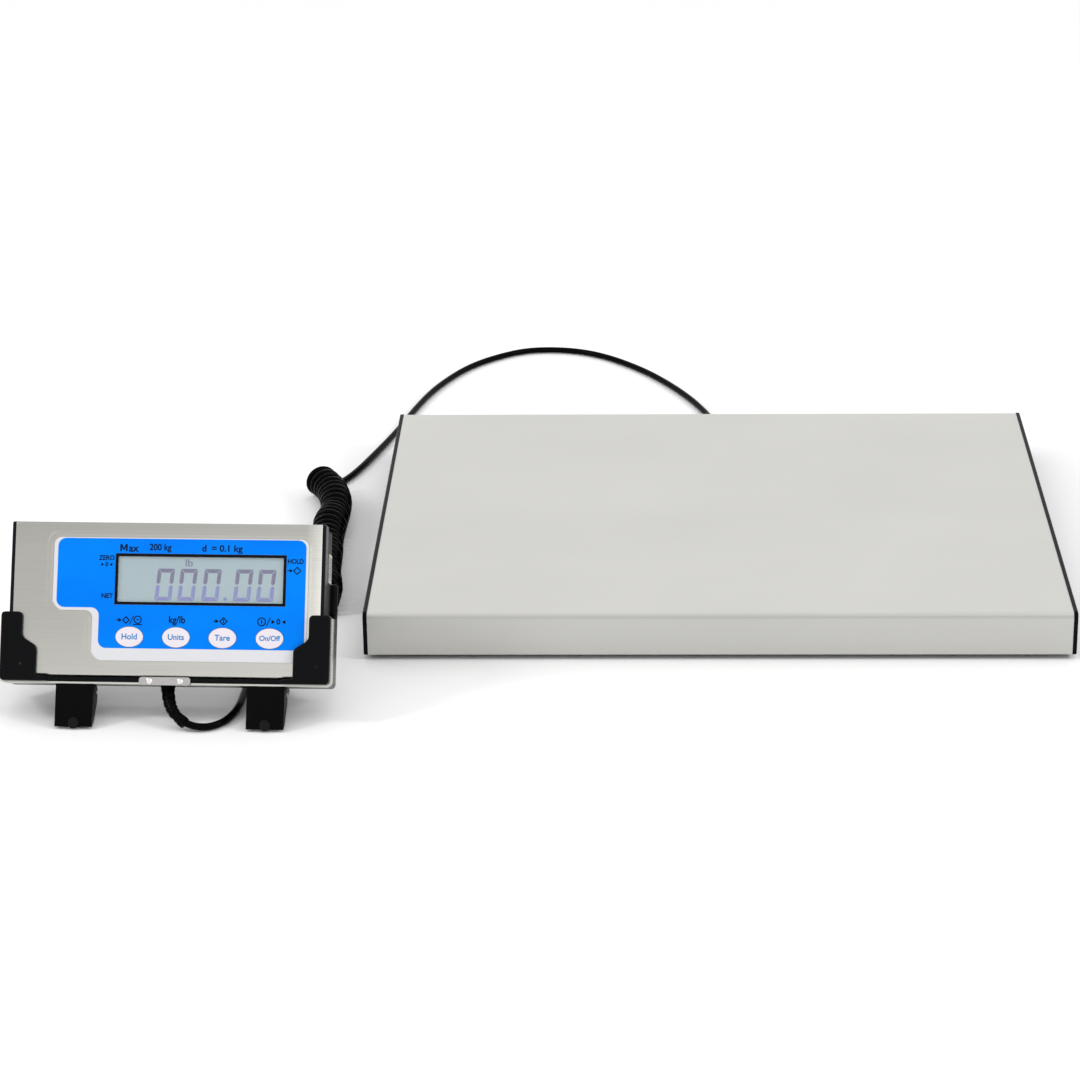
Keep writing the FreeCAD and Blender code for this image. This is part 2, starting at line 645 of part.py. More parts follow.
def rear_cover():
    """Steel back of the housing with two side flanges, a battery opening and two door rails."""
    half, t = FACE_WIDTH / 2 + CAP_WIDTH, 1.2
    back = HOUSING_DEPTH
    cover = prism(rectangle(-half, half, 0, FACE_HEIGHT), 3, "xz", back - t, back)
    for sign in (-1, 1):
        flange = box(min(sign * half, sign * (half - t)), max(sign * half, sign * (half - t)),
                     CAP_DEPTH, back - t / 2, 3, FACE_HEIGHT - 3)
        cover = cover.fuse(flange)
    opening = box(-50, 50, back - 3, back + 1, DOOR_LOW + 2.5, DOOR_HIGH - 2.5)
    cover = cover.cut(opening)
    for sign in (-1, 1):
        web = box(min(sign * (DOOR_HALF + 0.4), sign * (DOOR_HALF + 2)),
                  max(sign * (DOOR_HALF + 0.4), sign * (DOOR_HALF + 2)),
                  back - 0.5, back + 3.2, DOOR_LOW, DOOR_HIGH)
        lip = box(min(sign * (DOOR_HALF - 1.6), sign * (DOOR_HALF + 2)),
                  max(sign * (DOOR_HALF - 1.6), sign * (DOOR_HALF + 2)),
                  back + 2.2, back + 3.2, DOOR_LOW, DOOR_HIGH)
        cover = cover.fuse([web, lip])
    cover = cover.fuse(box(-20, 20, back - 0.5, back + 2.4, DOOR_LOW - 2, DOOR_LOW - 0.3))
    for a, b in cover_screw_places():
        cover = cover.cut(rod(1.6, (a, back - 3, b), (0, 1, 0), 6))
    cover = cover.cut(data_port_body(0.15))
    cover = cover.cut(rod(4.15, (-half - 1, 23, 80), (1, 0, 0), 4))
    return cover.removeSplitter()


def cover_screws():
    """Pan-head screws that hold the back to the pillars inside."""
    screws = []
    for a, b in cover_screw_places():
        head = rod(2.9, (a, HOUSING_DEPTH, b), (0, 1, 0), 1.7)
        slot = box(a - 3, a + 3, HOUSING_DEPTH + 1.0, HOUSING_DEPTH + 2, b - 0.4, b + 0.4)
        screws.append(joined([head, rod(1.5, (a, 22, b), (0, 1, 0), 11)]).cut(slot))
    return group(screws)


def cover_pillars():
    """Pillars that the back's screws go into, moulded on one bracket at each side."""
    brackets = []
    for sign in (-1, 1):
        web = box(min(sign * 82, sign * 103), max(sign * 82, sign * 103), CAP_DEPTH + 0.3, 17, 71, 101)
        posts = [rod(4, (a, 16, b), (0, 1, 0), HOUSING_DEPTH - 1.2 - 16)
                 for a, b in cover_screw_places() if a * sign > 0]
        bracket = joined([web] + posts)
        for a, b in cover_screw_places():
            if a * sign > 0:
                bracket = bracket.cut(rod(1.55, (a, 20, b), (0, 1, 0), 14))
        brackets.append(bracket)
    return group(brackets)


def data_port_body(grow):
    half = FACE_WIDTH / 2 + CAP_WIDTH
    return box(half - 12 - grow, half + 0.7 + grow, 18 - grow, 29 + grow, 67 - grow, 87 + grow)


def data_port():
    """Shielded serial socket in the right flange; its mouth faces outwards."""
    half = FACE_WIDTH / 2 + CAP_WIDTH
    mouth = box(half - 8, half + 2, 19.5, 27.5, 69, 85)
    return data_port_body(0).cut(mouth)


def power_jack():
    """Round power socket in the left flange, with its centre pin."""
    half = FACE_WIDTH / 2 + CAP_WIDTH
    body = rod(4, (-half - 0.6, 23, 80), (1, 0, 0), 12)
    body = body.cut(rod(2.75, (-half - 1, 23, 80), (1, 0, 0), 10))
    return joined([body, rod(0.9, (-half + 1, 23, 80), (1, 0, 0), 9)])


def battery_box():
    """Open tray for six cells in two columns of three, with a wall between the columns."""
    top = BATTERY_BOX_LOW + 3 * BATTERY_ROW + 1.2
    outer = box(-53, 53, BATTERY_BOX_FRONT, HOUSING_DEPTH - 1.4, BATTERY_BOX_LOW, top)
    tray = outer
    for a0, a1 in ((-52, -0.5), (0.5, 52)):
        tray = tray.cut(box(a0, a1, BATTERY_BOX_FRONT + 1, HOUSING_DEPTH, BATTERY_BOX_LOW + 0.8, top - 0.8))
    return tray


def battery_places():
    depth = BATTERY_BOX_FRONT + 1.1 + BATTERY_RADIUS
    first = BATTERY_BOX_LOW + 0.9 + BATTERY_RADIUS
    return [(a, depth, first + BATTERY_ROW * row) for a in (-51.6, 0.9) for row in range(3)]


def batteries():
    cells = []
    for a, d, b in battery_places():
        can = rod(BATTERY_RADIUS - 0.1, (a + 0.3, d, b), (1, 0, 0), BATTERY_LENGTH - 1.2)
        cells.append(joined([can, rod(2.6, (a + 0.3, d, b), (1, 0, 0), BATTERY_LENGTH)]))
    return group(cells)


def door():
    """Sliding battery door: a thin plate with an arrow-free finger grip of raised ribs."""
    back = HOUSING_DEPTH
    plate = prism(rectangle(-DOOR_HALF, DOOR_HALF, DOOR_LOW, DOOR_HIGH), 1, "xz", back + 0.3, back + 1.8)
    ribs = [box(-14, 14, back + 1.5, back + 2.6, b, b + 1.4) for b in (86.0, 89.0, 92.0, 95.0)]
    return joined([plate] + ribs)


def make_housing(junction_screws):
    save("front_shell", on_indicator(front_shell()))
    save("overlay_film", on_indicator(overlay_film()))
    save("window_bezel", on_indicator(window_bezel()))
    save("display_window", on_indicator(window_box(-BEZEL_WIDTH - 0.1, 0.4, POCKET_DEPTH)))
    for name, a in zip(KEY_NAMES, KEY_ROW):
        save(f"key_{name}", on_indicator(key(a)))
    save("key_switches", on_indicator(group([tact_switch(a) for a in KEY_ROW])))
    glass, holder, guide = display_parts()
    save("display_glass", on_indicator(glass))
    save("display_holder", on_indicator(holder))
    save("light_guide", on_indicator(guide))
    plate, posts, screws = main_board_parts()
    save("main_board", on_indicator(plate))
    save("board_posts", on_indicator(posts))
    save("board_screws", group([junction_screws, on_indicator(screws)]))
    save("end_cap_left", on_indicator(end_cap(-1)))
    save("end_cap_right", on_indicator(end_cap(1)))
    save("rear_cover", on_indicator(rear_cover()))
    save("cover_pillars", on_indicator(cover_pillars()))
    save("cover_screws", on_indicator(cover_screws()))
    save("data_port", on_indicator(data_port()))
    save("power_jack", on_indicator(power_jack()))
    save("battery_box", on_indicator(battery_box()))
    save("batteries", on_indicator(batteries()))
    save("battery_door", on_indicator(door()))


# ---- Cradle, legs and the lead's gland on the indicator ----

def corner_clip(side):
    """Front finger of the cradle that laps over one lower corner of the face."""
    h = CRADLE_HALF
    outline = [(-h, TRAY_BOTTOM), (-h, 43), (-97.7, 43), (-97.7, 26), (-87.4, 19.5), (-87.4, TRAY_BOTTOM)]
    clip = prism(outline, [0, 3, 3, 5, 4, 0], "xz", CRADLE_FRONT, -0.4)
    clip = clip.cut(rod(3.4, (-100.7, CRADLE_FRONT - 1, 9.8), (0, 1, 0), 1.5))
    if side > 0:
        clip = clip.mirror(V(0, 0, 0), V(1, 0, 0))
    return clip


def cradle():
    """Black moulding under and behind the housing: tray, side walls, back plate, clips and heels."""
    h, w = CRADLE_HALF, CRADLE_WALL
    tray = box(-h, h, CRADLE_FRONT, CRADLE_BACK, TRAY_BOTTOM, TRAY_TOP)
    tray = tray.cut(box(-80, 80, CRADLE_FRONT - 1, 0.3, TRAY_BOTTOM - 1, TRAY_TOP + 1))
    tray = tray.cut(box(GLAND_A - 18, GLAND_A + 18, -1, 1.2, TRAY_BOTTOM - 1, TRAY_TOP + 1))
    tray = tray.cut(rod(5.6, (GLAND_A, GLAND_DEPTH, TRAY_BOTTOM - 1), (0, 0, 1), 6))
    for a, b in gland_screw_places():
        tray = tray.cut(rod(1.4, (a, 0, b), (0, 1, 0), 3.5))
    wing = [(CRADLE_FRONT, TRAY_BOTTOM), (CRADLE_BACK, TRAY_BOTTOM), (CRADLE_BACK, WING_TOP),
            (HOUSING_DEPTH + 0.6, WING_TOP), (HOUSING_DEPTH + 0.6, 43), (CRADLE_FRONT, 43)]
    walls = [prism(wing, [1.5, 0, 2, 1, 6, 3], "yz", lo, lo + w) for lo in (-h, h - w)]
    back = prism([(-h, TRAY_BOTTOM), (h, TRAY_BOTTOM), (h, WING_TOP), (78, WING_TOP), (70, BACK_PLATE_TOP),
                  (-70, BACK_PLATE_TOP), (-78, WING_TOP), (-h, WING_TOP)],
                 [0, 0, 5, 5, 8, 8, 5, 5], "xz", HOUSING_DEPTH + 0.6, CRADLE_BACK)
    shell = joined([tray, back] + walls + [corner_clip(-1), corner_clip(1)])
    envelope = prism(rectangle(-h, h, TRAY_BOTTOM, WING_TOP), [STRAP_BEND, STRAP_BEND, 0, 0], "xz",
                     CRADLE_FRONT, CRADLE_BACK)
    heels = [heel(sign) for sign in (-1, 1)]
    lugs = [leg_lug(a) for a in LEG_CENTRES]
    body = joined([shell.common(envelope)] + heels + lugs)
    for a in LEG_CENTRES:
        body = body.cut(rod(PIN_RADIUS, (a - 20, PIN_DEPTH, PIN_HEIGHT), (1, 0, 0), 40))
    return body


def heel(side):
    """Rear strut from the cradle's back plate down to the table, with a stiffening rib above it."""
    near, far = HEEL_DEPTHS
    lift = HEEL_PAD / math.cos(math.radians(INDICATOR_RECLINE))
    centre = side * HEEL_CENTRE
    foot = [(CRADLE_BACK - 2, TRAY_BOTTOM), (near, table_line(near) + lift), (far, table_line(far) + lift),
            (far, 3), (CRADLE_BACK - 2, 3)]
    arm = prism(foot, [0, 0, 1.5, 2, 0], "yz", centre - HEEL_WIDTH / 2, centre + HEEL_WIDTH / 2)
    rib = prism([(CRADLE_BACK - 1, 0), (far - 2, 0), (far - 2, 4), (CRADLE_BACK - 1, 44)],
                [0, 0, 2, 0], "yz", centre - 2, centre + 2)
    return joined([arm, rib])


def heel_pad(side):
    """Rubber pad glued under a heel; its face lies flat on the table."""
    near, far = HEEL_DEPTHS
    lift = HEEL_PAD / math.cos(math.radians(INDICATOR_RECLINE))
    near, far = near + 0.4, far - 1.6
    centre = side * HEEL_CENTRE
    outline = [(near, table_line(near)), (far, table_line(far)),
               (far, table_line(far) + lift), (near, table_line(near) + lift)]
    return prism(outline, 0, "yz", centre - HEEL_WIDTH / 2 + 0.5, centre + HEEL_WIDTH / 2 - 0.5)


def leg_lug(a):
    """Two ears under the tray that carry one leg's pin."""
    half = LEG_WIDTH / 2 - LEG_WALL - 0.4
    top, r = TRAY_BOTTOM + 1, 3.4
    outline = [(PIN_DEPTH - r, top), (PIN_DEPTH - r, PIN_HEIGHT - r),
               (PIN_DEPTH + r, PIN_HEIGHT - r), (PIN_DEPTH + r, top)]
    ears = [prism(outline, [0, 3, 3, 0], "yz", lo, lo + 4) for lo in (a - half, a + half - 4)]
    return joined(ears)


def leg(a):
    """Fold-out leg: a channel whose web carries on the plane of the face down to the table."""
    half, r = LEG_WIDTH / 2, LEG_END_RADIUS
    top = PIN_HEIGHT + r
    web = box(a - half, a + half, 0.5, 0.5 + LEG_WALL, LEG_BOTTOM, top)
    side = [(0.5, top), (PIN_DEPTH + r, top), (PIN_DEPTH + r, PIN_HEIGHT - 6.0),
            (6.5, LEG_BOTTOM + 3.4), (0.5, LEG_BOTTOM)]
    flanges = [prism(side, [0, r - 0.05, 3, 2, 0], "yz", lo, lo + LEG_WALL)
               for lo in (a - half, a + half - LEG_WALL)]
    shape = joined([web] + flanges)
    shape = shape.cut(rod(PIN_RADIUS + PIN_CLEARANCE, (a - 20, PIN_DEPTH, PIN_HEIGHT), (1, 0, 0), 40))
    shape = shape.cut(rod(4.0, (a, -5, leg_foot_height()), (0, 1, 0), 20))
    return above_table(shape, 0.8)


def leg_foot_height():
    """Height on the leg of its rubber foot, so that the foot's ball just meets the table."""
    return table_line(1.5) + 4.0 / math.cos(math.radians(INDICATOR_RECLINE))


def leg_foot(a):
    """Rubber button in the leg's lower end: a ball held in the web's round notch."""
    centre = V(a, 1.5, leg_foot_height())
    ball = Part.makeSphere(4.0, centre)
    plug = rod(3.95, (a, 0.55, centre.z), (0, 1, 0), 1.9)
    return above_table(ball.common(box(a - 5, a + 5, -1.0, 5, centre.z - 5, centre.z + 5)).fuse(plug))


def leg_pin(a):
    half = LEG_WIDTH / 2
    return rod(PIN_RADIUS, (a - half - 0.6, PIN_DEPTH, PIN_HEIGHT), (1, 0, 0), LEG_WIDTH + 1.2)


def cradle_strap():
    """Stainless strap bent round the outside of the cradle, under the tray and up both sides."""
    h, t = CRADLE_HALF, STRAP_SHEET
    outline = [(-h - t, 41), (-h - t, TRAY_BOTTOM - t), (h + t, TRAY_BOTTOM - t), (h + t, 41),
               (h, 41), (h, TRAY_BOTTOM), (-h, TRAY_BOTTOM), (-h, 41)]
    outer_bend = STRAP_BEND + t
    return prism(outline, [0, outer_bend, outer_bend, 0, 0, STRAP_BEND, STRAP_BEND, 0], "xz",
                 STRAP_FRONT, STRAP_BACK)


def gland_screw_places():
    middle = (TRAY_BOTTOM - STRAP_SHEET - 0.9) / 2
    return [(GLAND_A - 10.5, middle), (GLAND_A + 10.5, middle)]


def gland_plate():
    """Polished plate under the face's lower edge; two screws hold it on the front of the tray."""
    low, high = TRAY_BOTTOM - STRAP_SHEET - 0.6, -0.3
    plate = prism(rectangle(GLAND_A - 17.5, GLAND_A + 17.5, low, high), 2, "xz", -0.4, 0.9)
    for a, b in gland_screw_places():
        plate = plate.cut(rod(1.4, (a, -1, b), (0, 1, 0), 4))
    return plate


def gland_plate_screws():
    screws = []
    for a, b in gland_screw_places():
        dome = Part.makeSphere(2.6, V(a, 1.0, b)).common(box(a - 3, a + 3, -3, -0.4, b - 3, b + 3))
        screws.append(dome.fuse(rod(1.35, (a, -0.6, b), (0, 1, 0), 2.4)))
    return group(screws)


def main_gland():
    """Moulded bush in the housing's floor that the lead comes out of."""
    a, d = GLAND_A, GLAND_DEPTH
    bush = joined([rod(5.1, (a, d, -6.0), (0, 0, 1), 9), rod(7.0, (a, d, 1.1), (0, 0, 1), 2.5)])
    return bush.cut(rod(CORD_RADIUS + 0.05, (a, d, -7), (0, 0, 1), 12))


def indicator_point(a, depth, b):
    """A point of the indicator's upright frame, once the indicator is tilted and stands in place."""
    marker = on_indicator(Part.Vertex(a, depth, b))
    return marker.Point


def strain_relief():
    """Tapered ribbed sleeve on the lead, from the bush down and forward to the lead's last run."""
    start = indicator_point(GLAND_A, GLAND_DEPTH, -6.0)
    end = V(*INDICATOR_LEAD[-1])
    along = end - start
    print(f"strain relief: from {start} to {end}, length {along.Length:.1f}")
    sleeve = Part.makeCone(4.5, 3.3, along.Length, start, along)
    return sleeve


def make_cradle():
    save("cradle", on_indicator(cradle()))
    save("cradle_strap", on_indicator(cradle_strap()))
    save("heel_pads", on_indicator(group([heel_pad(sign) for sign in (-1, 1)])))
    save("leg_pins", on_indicator(group([leg_pin(a) for a in LEG_CENTRES])))
    for name, a in zip(("left", "right"), LEG_CENTRES):
        save(f"leg_{name}", on_indicator(leg(a)))
        save(f"leg_foot_{name}", on_indicator(leg_foot(a)))
    save("gland_plate", on_indicator(gland_plate()))
    save("gland_plate_screws", on_indicator(gland_plate_screws()))
    save("indicator_gland", on_indicator(main_gland()))


# ---- Lead ----

def make_lead():
    save("strain_relief", strain_relief())
    save("lead_platform_end", tube("lead, platform end", PLATFORM_LEAD, CORD_RADIUS))
    save("lead_coil", tube("lead, coil", COIL_AXIS, COIL_RADIUS))
    save("lead_indicator_end", tube("lead, indicator end", INDICATOR_LEAD, CORD_RADIUS))


os.makedirs("parts", exist_ok=True)
make_housing(make_platform())
make_cradle()
make_lead()
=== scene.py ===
"""A platform shipping scale: its finishes, its printed panel and its lead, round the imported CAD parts."""

import bmesh
import bpy
import numpy as np
from mathutils import Matrix


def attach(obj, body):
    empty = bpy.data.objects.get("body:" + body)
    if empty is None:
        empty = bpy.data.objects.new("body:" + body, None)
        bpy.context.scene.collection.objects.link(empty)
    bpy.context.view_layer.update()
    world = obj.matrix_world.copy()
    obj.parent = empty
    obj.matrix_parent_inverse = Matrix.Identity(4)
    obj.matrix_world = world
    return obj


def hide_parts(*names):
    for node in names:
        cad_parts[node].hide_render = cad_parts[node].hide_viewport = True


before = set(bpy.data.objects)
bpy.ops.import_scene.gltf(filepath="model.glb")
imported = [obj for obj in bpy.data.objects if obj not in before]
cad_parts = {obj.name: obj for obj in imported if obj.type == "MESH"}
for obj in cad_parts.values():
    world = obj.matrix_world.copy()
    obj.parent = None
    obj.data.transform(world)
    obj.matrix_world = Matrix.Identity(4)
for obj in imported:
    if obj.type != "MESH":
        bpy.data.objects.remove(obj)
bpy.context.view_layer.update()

# ---- Camera ----
# A long lens on a stand in front of the table, looking down on the scale. It is turned a little to
# the left and is not quite level.
camera_at = np.array([0.0685, -2.2722, 0.9859])
lens_length, film_width, far_limit = 111.2, 36.0, 100.0
turned_left, looking_down, off_level = np.radians([-1.96, 22.76, -0.85])
ahead = np.array([np.sin(turned_left) * np.cos(looking_down),
                  np.cos(turned_left) * np.cos(looking_down),
                  -np.sin(looking_down)])
level = np.array([np.cos(turned_left), -np.sin(turned_left), 0.0])
upright = np.cross(level, ahead)
view_right = np.cos(off_level) * level + np.sin(off_level) * upright
view_up = np.cos(off_level) * upright - np.sin(off_level) * level


def set_out(name, data):
    """Puts a new object with this data in the scene, unmoved, and returns it."""
    piece = bpy.data.objects.new(name, data)
    bpy.context.scene.collection.objects.link(piece)
    return piece


def standing_at(place, side, top, back):
    """A place and a turn in one matrix: its columns are the directions of the side, the top and the
    back, and then the place."""
    stance = np.eye(4)
    stance[:3] = np.column_stack([side, top, back, place])
    return Matrix(stance.tolist())


camera_lens = bpy.data.cameras.new("camera")
camera_lens.lens = lens_length
camera_lens.sensor_width = film_width
camera_lens.clip_end = far_limit
camera = set_out("camera", camera_lens)
camera.matrix_world = standing_at(camera_at, view_right, view_up, -ahead)
bpy.context.scene.camera = camera

# ---- Lead: cord and coil ----
# One black plastic-jacketed cord, 5 mm thick. It leaves the gland in the platform's back, lies on the
# table in a wide loop, is moulded into a long coil, and goes on to the indicator's strain relief.
cord_thickness = 0.005
coil_radius = 0.0100
coil_pitch = 0.0080
points_per_turn = 12
# where along the coil, how long in metres, and by what share of the radius it swells or narrows
coil_swellings = ((0.068, 0.012, -0.07), (0.098, 0.012, 0.07), (0.135, 0.012, -0.03),
                  (0.170, 0.014, 0.07), (0.196, 0.008, -0.05), (0.222, 0.012, 0.08))
from_platform = np.array([
    (126.1, 257.0, 16.0), (126.1, 283.5, 15.8), (125.4, 311.0, 8.5), (122.6, 331.0, 3.2),
    (117.3, 350.0, 2.9), (105.5, 381.0, 2.9), (86.5, 418.5, 2.9), (64.5, 452.5, 2.9),
    (33.0, 486.5, 2.9), (3.0, 502.0, 2.9), (-33.0, 503.0, 2.9), (-60.5, 485.0, 2.9),
    (-86.0, 457.5, 2.9), (-109.0, 409.5, 2.9), (-122.5, 365.0, 2.9), (-136.5, 301.4, 2.9),
    (-151.3, 249.2, 2.9), (-164.5, 206.0, 2.9), (-175.5, 184.5, 2.8),
]) / 1000
coil_axis = np.array([
    (-188.4, 169.8, 12.9), (-179.1, 154.9, 12.9), (-172.5, 131.8, 12.9), (-169.6, 107.1, 12.9),
    (-172.1, 81.1, 12.9), (-171.8, 51.1, 12.9), (-169.8, 23.1, 12.9), (-170.2, -3.9, 12.9),
    (-164.8, -37.9, 12.9), (-165.4, -65.1, 12.9),
]) / 1000
to_indicator = np.array([
    (-173.0, -66.5, 2.8), (-177.0, -74.0, 2.8), (-177.6, -86.0, 2.9), (-178.5, -104.0, 2.9),
    (-191.8, -134.9, 2.9), (-203.5, -166.9, 2.9), (-207.4, -192.9, 2.9), (-208.2, -216.9, 2.9),
    (-211.5, -236.0, 2.9), (-218.3, -250.6, 2.9), (-228.8, -256.5, 3.0), (-240.3, -255.2, 4.4),
    (-247.8, -250.4, 8.2),
]) / 1000


def smooth_line(name, points):
    """A curve object: one open NURBS line of order 3, clamped at its ends, drawn towards the points."""
    curve = bpy.data.curves.new(name, "CURVE")
    curve.dimensions = "3D"
    line = curve.splines.new("NURBS")
    line.points.add(len(points) - 1)
    line.points.foreach_set("co", np.column_stack([points, np.ones(len(points))]).ravel())
    line.order_u = 3
    line.use_endpoint_u = True
    line.resolution_u = 6
    return set_out(name, curve)


def points_and_faces(curve_piece):
    """The points and the faces that Blender makes of a curve or of letters, which are then taken
    away. A bare line gives the points that it is drawn through, and no faces."""
    mesh = bpy.data.meshes.new_from_object(curve_piece)
    points = np.empty(len(mesh.vertices) * 3)
    mesh.vertices.foreach_get("co", points)
    faces = [list(face.vertices) for face in mesh.polygons]
    bpy.data.objects.remove(curve_piece)
    return points.reshape(-1, 3), faces


def wound(axis_points, radius, pitch):
    """Helix round a line: each point lies one radius from the line, and the angle grows evenly with
    the distance gone along it. It starts and ends under the line. The radius swells and narrows by a
    few hundredths in bell shapes, as a used coil's does, and the coil still rests on the table."""
    steps = np.linalg.norm(np.diff(axis_points, axis=0), axis=1)
    distance = np.concatenate([[0.0], np.cumsum(steps)])
    turns = round(distance[-1] / pitch)
    angle = np.linspace(0.0, 2 * np.pi * turns, turns * points_per_turn + 1)
    gone = angle / angle[-1] * distance[-1]
    middle = np.column_stack([np.interp(gone, distance, axis_points[:, k]) for k in range(3)])
    along = np.gradient(middle, gone, axis=0)
    along /= np.linalg.norm(along, axis=1)[:, None]
    sideways = np.cross(along, [0.0, 0.0, 1.0])
    reach = radius * (1 + sum(amount * np.exp(-((gone - place) / width) ** 2)
                              for place, width, amount in coil_swellings))
    lift = radius - reach
    return (middle - np.outer(lift, [0.0, 0.0, 1.0])
            + (reach * np.sin(angle))[:, None] * sideways
            - np.outer(reach * np.cos(angle), [0.0, 0.0, 1.0]))


# the line runs inside its points, so the points lie a little outside the radius
coil_middle, _ = points_and_faces(smooth_line("coil_axis", coil_axis))
coil_points = wound(coil_middle, coil_radius / np.cos(np.pi / points_per_turn), coil_pitch)
lead = smooth_line("lead", np.vstack([from_platform, coil_points, to_indicator]))
lead.data.bevel_depth = cord_thickness / 2
lead.data.bevel_resolution = 4
lead.data.use_fill_caps = True
lead.data.splines[0].use_smooth = True


def finish(name, colour, roughness, metallic=0.0, specular=0.5, coat=0.0):
    """A material whose shader holds these steady values; returns the material and its shader."""
    material = bpy.data.materials.new(name)
    material.use_nodes = True
    shader = material.node_tree.nodes["Principled BSDF"]
    shader.inputs["Base Color"].default_value = (*colour, 1.0)
    shader.inputs["Roughness"].default_value = roughness
    shader.inputs["Metallic"].default_value = metallic
    shader.inputs["Specular IOR Level"].default_value = specular
    shader.inputs["Coat Weight"].default_value = coat
    shader.inputs["Coat Roughness"].default_value = 0.2
    material.diffuse_color = (*colour, 1.0)
    return material, shader


def noise_on(material, cell, turn=(0.0, 0.0, 0.0), detail=3.0):
    """Noise on the object's own coordinates, its cells this long, deep and high, in metres."""
    nodes, links = material.node_tree.nodes, material.node_tree.links
    where = nodes.new("ShaderNodeTexCoord")
    stretch = nodes.new("ShaderNodeMapping")
    stretch.vector_type = "TEXTURE"
    stretch.inputs["Rotation"].default_value = turn
    stretch.inputs["Scale"].default_value = cell
    noise = nodes.new("ShaderNodeTexNoise")
    noise.inputs["Scale"].default_value = 1.0
    noise.inputs["Detail"].default_value = detail
    links.new(where.outputs["Object"], stretch.inputs["Vector"])
    links.new(stretch.outputs["Vector"], noise.inputs["Vector"])
    return noise.outputs["Fac"]


def between(material, amount, low, high, socket):
    """Feeds a shader socket a value, or a colour, between low and high as the amount goes 0.3 to 0.7."""
    nodes, links = material.node_tree.nodes, material.node_tree.links
    if isinstance(low, tuple):
        ramp = nodes.new("ShaderNodeValToRGB")
        ramp.color_ramp.elements[0].position = 0.3
        ramp.color_ramp.elements[1].position = 0.7
        ramp.color_ramp.elements[0].color = (*low, 1.0)
        ramp.color_ramp.elements[1].color = (*high, 1.0)
        links.new(amount, ramp.inputs["Fac"])
        links.new(ramp.outputs["Color"], socket)
    else:
        scale = nodes.new("ShaderNodeMapRange")
        scale.inputs["From Min"].default_value = 0.3
        scale.inputs["From Max"].default_value = 0.7
        scale.inputs["To Min"].default_value = low
        scale.inputs["To Max"].default_value = high
        links.new(amount, scale.inputs["Value"])
        links.new(scale.outputs["Result"], socket)


def relief(material, shader, height, depth, strength=1.0):
    """Lets a pattern raise the surface by up to this depth, in metres, as bump."""
    nodes, links = material.node_tree.nodes, material.node_tree.links
    bump = nodes.new("ShaderNodeBump")
    bump.inputs["Strength"].default_value = strength
    bump.inputs["Distance"].default_value = depth
    links.new(height, bump.inputs["Height"])
    links.new(bump.outputs["Normal"], shader.inputs["Normal"])


def shade(colour, factor):
    """A colour lightened or darkened: each channel times the factor, and one at the most."""
    return tuple(min(1.0, channel * factor) for channel in colour)


def moulded(name, colour, roughness, specular, grain=0.0006, variation=0.12):
    """Moulded plastic or rubber: broad soft noise shifts its colour and its gloss, and fine noise the
    size of the mould's grain roughens its surface, to an eighth of the grain's size in depth."""
    material, shader = finish(name, colour, roughness, specular=specular)
    cloud = 0.03
    broad = noise_on(material, (cloud, cloud, cloud))
    between(material, broad, shade(colour, 1 - variation), shade(colour, 1 + variation),
            shader.inputs["Base Color"])
    between(material, broad, roughness - 0.05, roughness + 0.07, shader.inputs["Roughness"])
    relief(material, shader, noise_on(material, (grain, grain, grain), detail=2.0), grain * 0.12, 0.6)
    return material


cord_jacket = moulded("cord_jacket", (0.0013, 0.0013, 0.0016), 0.19, 0.035, grain=0.0012)
lead.data.materials.append(cord_jacket)
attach(lead, "base")
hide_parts("lead_platform_end", "lead_coil", "lead_indicator_end")

# ---- Strain relief ----
# The soft ribbed sleeve on the lead under the indicator, moulded in the same black plastic. It tapers
# from the bush to the cord and ends in a small collar.
relief_line = np.array([
    (-255.9, -228.2, 20.2), (-255.0, -236.0, 16.5), (-252.2, -244.5, 11.8), (-248.0, -250.2, 8.3),
    (-242.0, -254.2, 5.2),
]) / 1000
relief_wide, relief_narrow = 0.0046, 0.0034
rib_count, rib_rise, rib_squareness = 6, 0.00018, 3
collar_start, collar_rise = 0.91, 0.0006


def grid_piece(name, grid, around=False, capped=False, holes=None):
    """A mesh from rows and columns of points: every four neighbours make one face. Around joins the
    last column to the first, capped closes the first and last rows, and holes leaves faces out."""
    rows, columns = grid.shape[:2]
    number = np.arange(rows * columns).reshape(rows, columns)
    if around:
        number = np.hstack([number, number[:, :1]])
    faces = np.stack([number[:-1, :-1], number[:-1, 1:], number[1:, 1:], number[1:, :-1]], axis=-1)
    faces = faces[~holes] if holes is not None else faces.reshape(-1, 4)
    faces = faces.tolist()
    if capped:
        faces += [number[0, :columns][::-1].tolist(), number[-1, :columns].tolist()]
    mesh = bpy.data.meshes.new(name)
    mesh.from_pydata(grid.reshape(-1, 3).tolist(), [], faces)
    mesh.shade_smooth()
    reworked(mesh, drop_loose_points)
    return set_out(name, mesh)


def reworked(mesh, change):
    """Opens a mesh on the bench, lets the change work on it, and puts it back."""
    work = bmesh.new()
    work.from_mesh(mesh)
    change(work)
    work.to_mesh(mesh)
    work.free()


def drop_loose_points(work):
    """Takes away the points that no face uses."""
    bmesh.ops.delete(work, geom=[v for v in work.verts if not v.link_faces], context="VERTS")


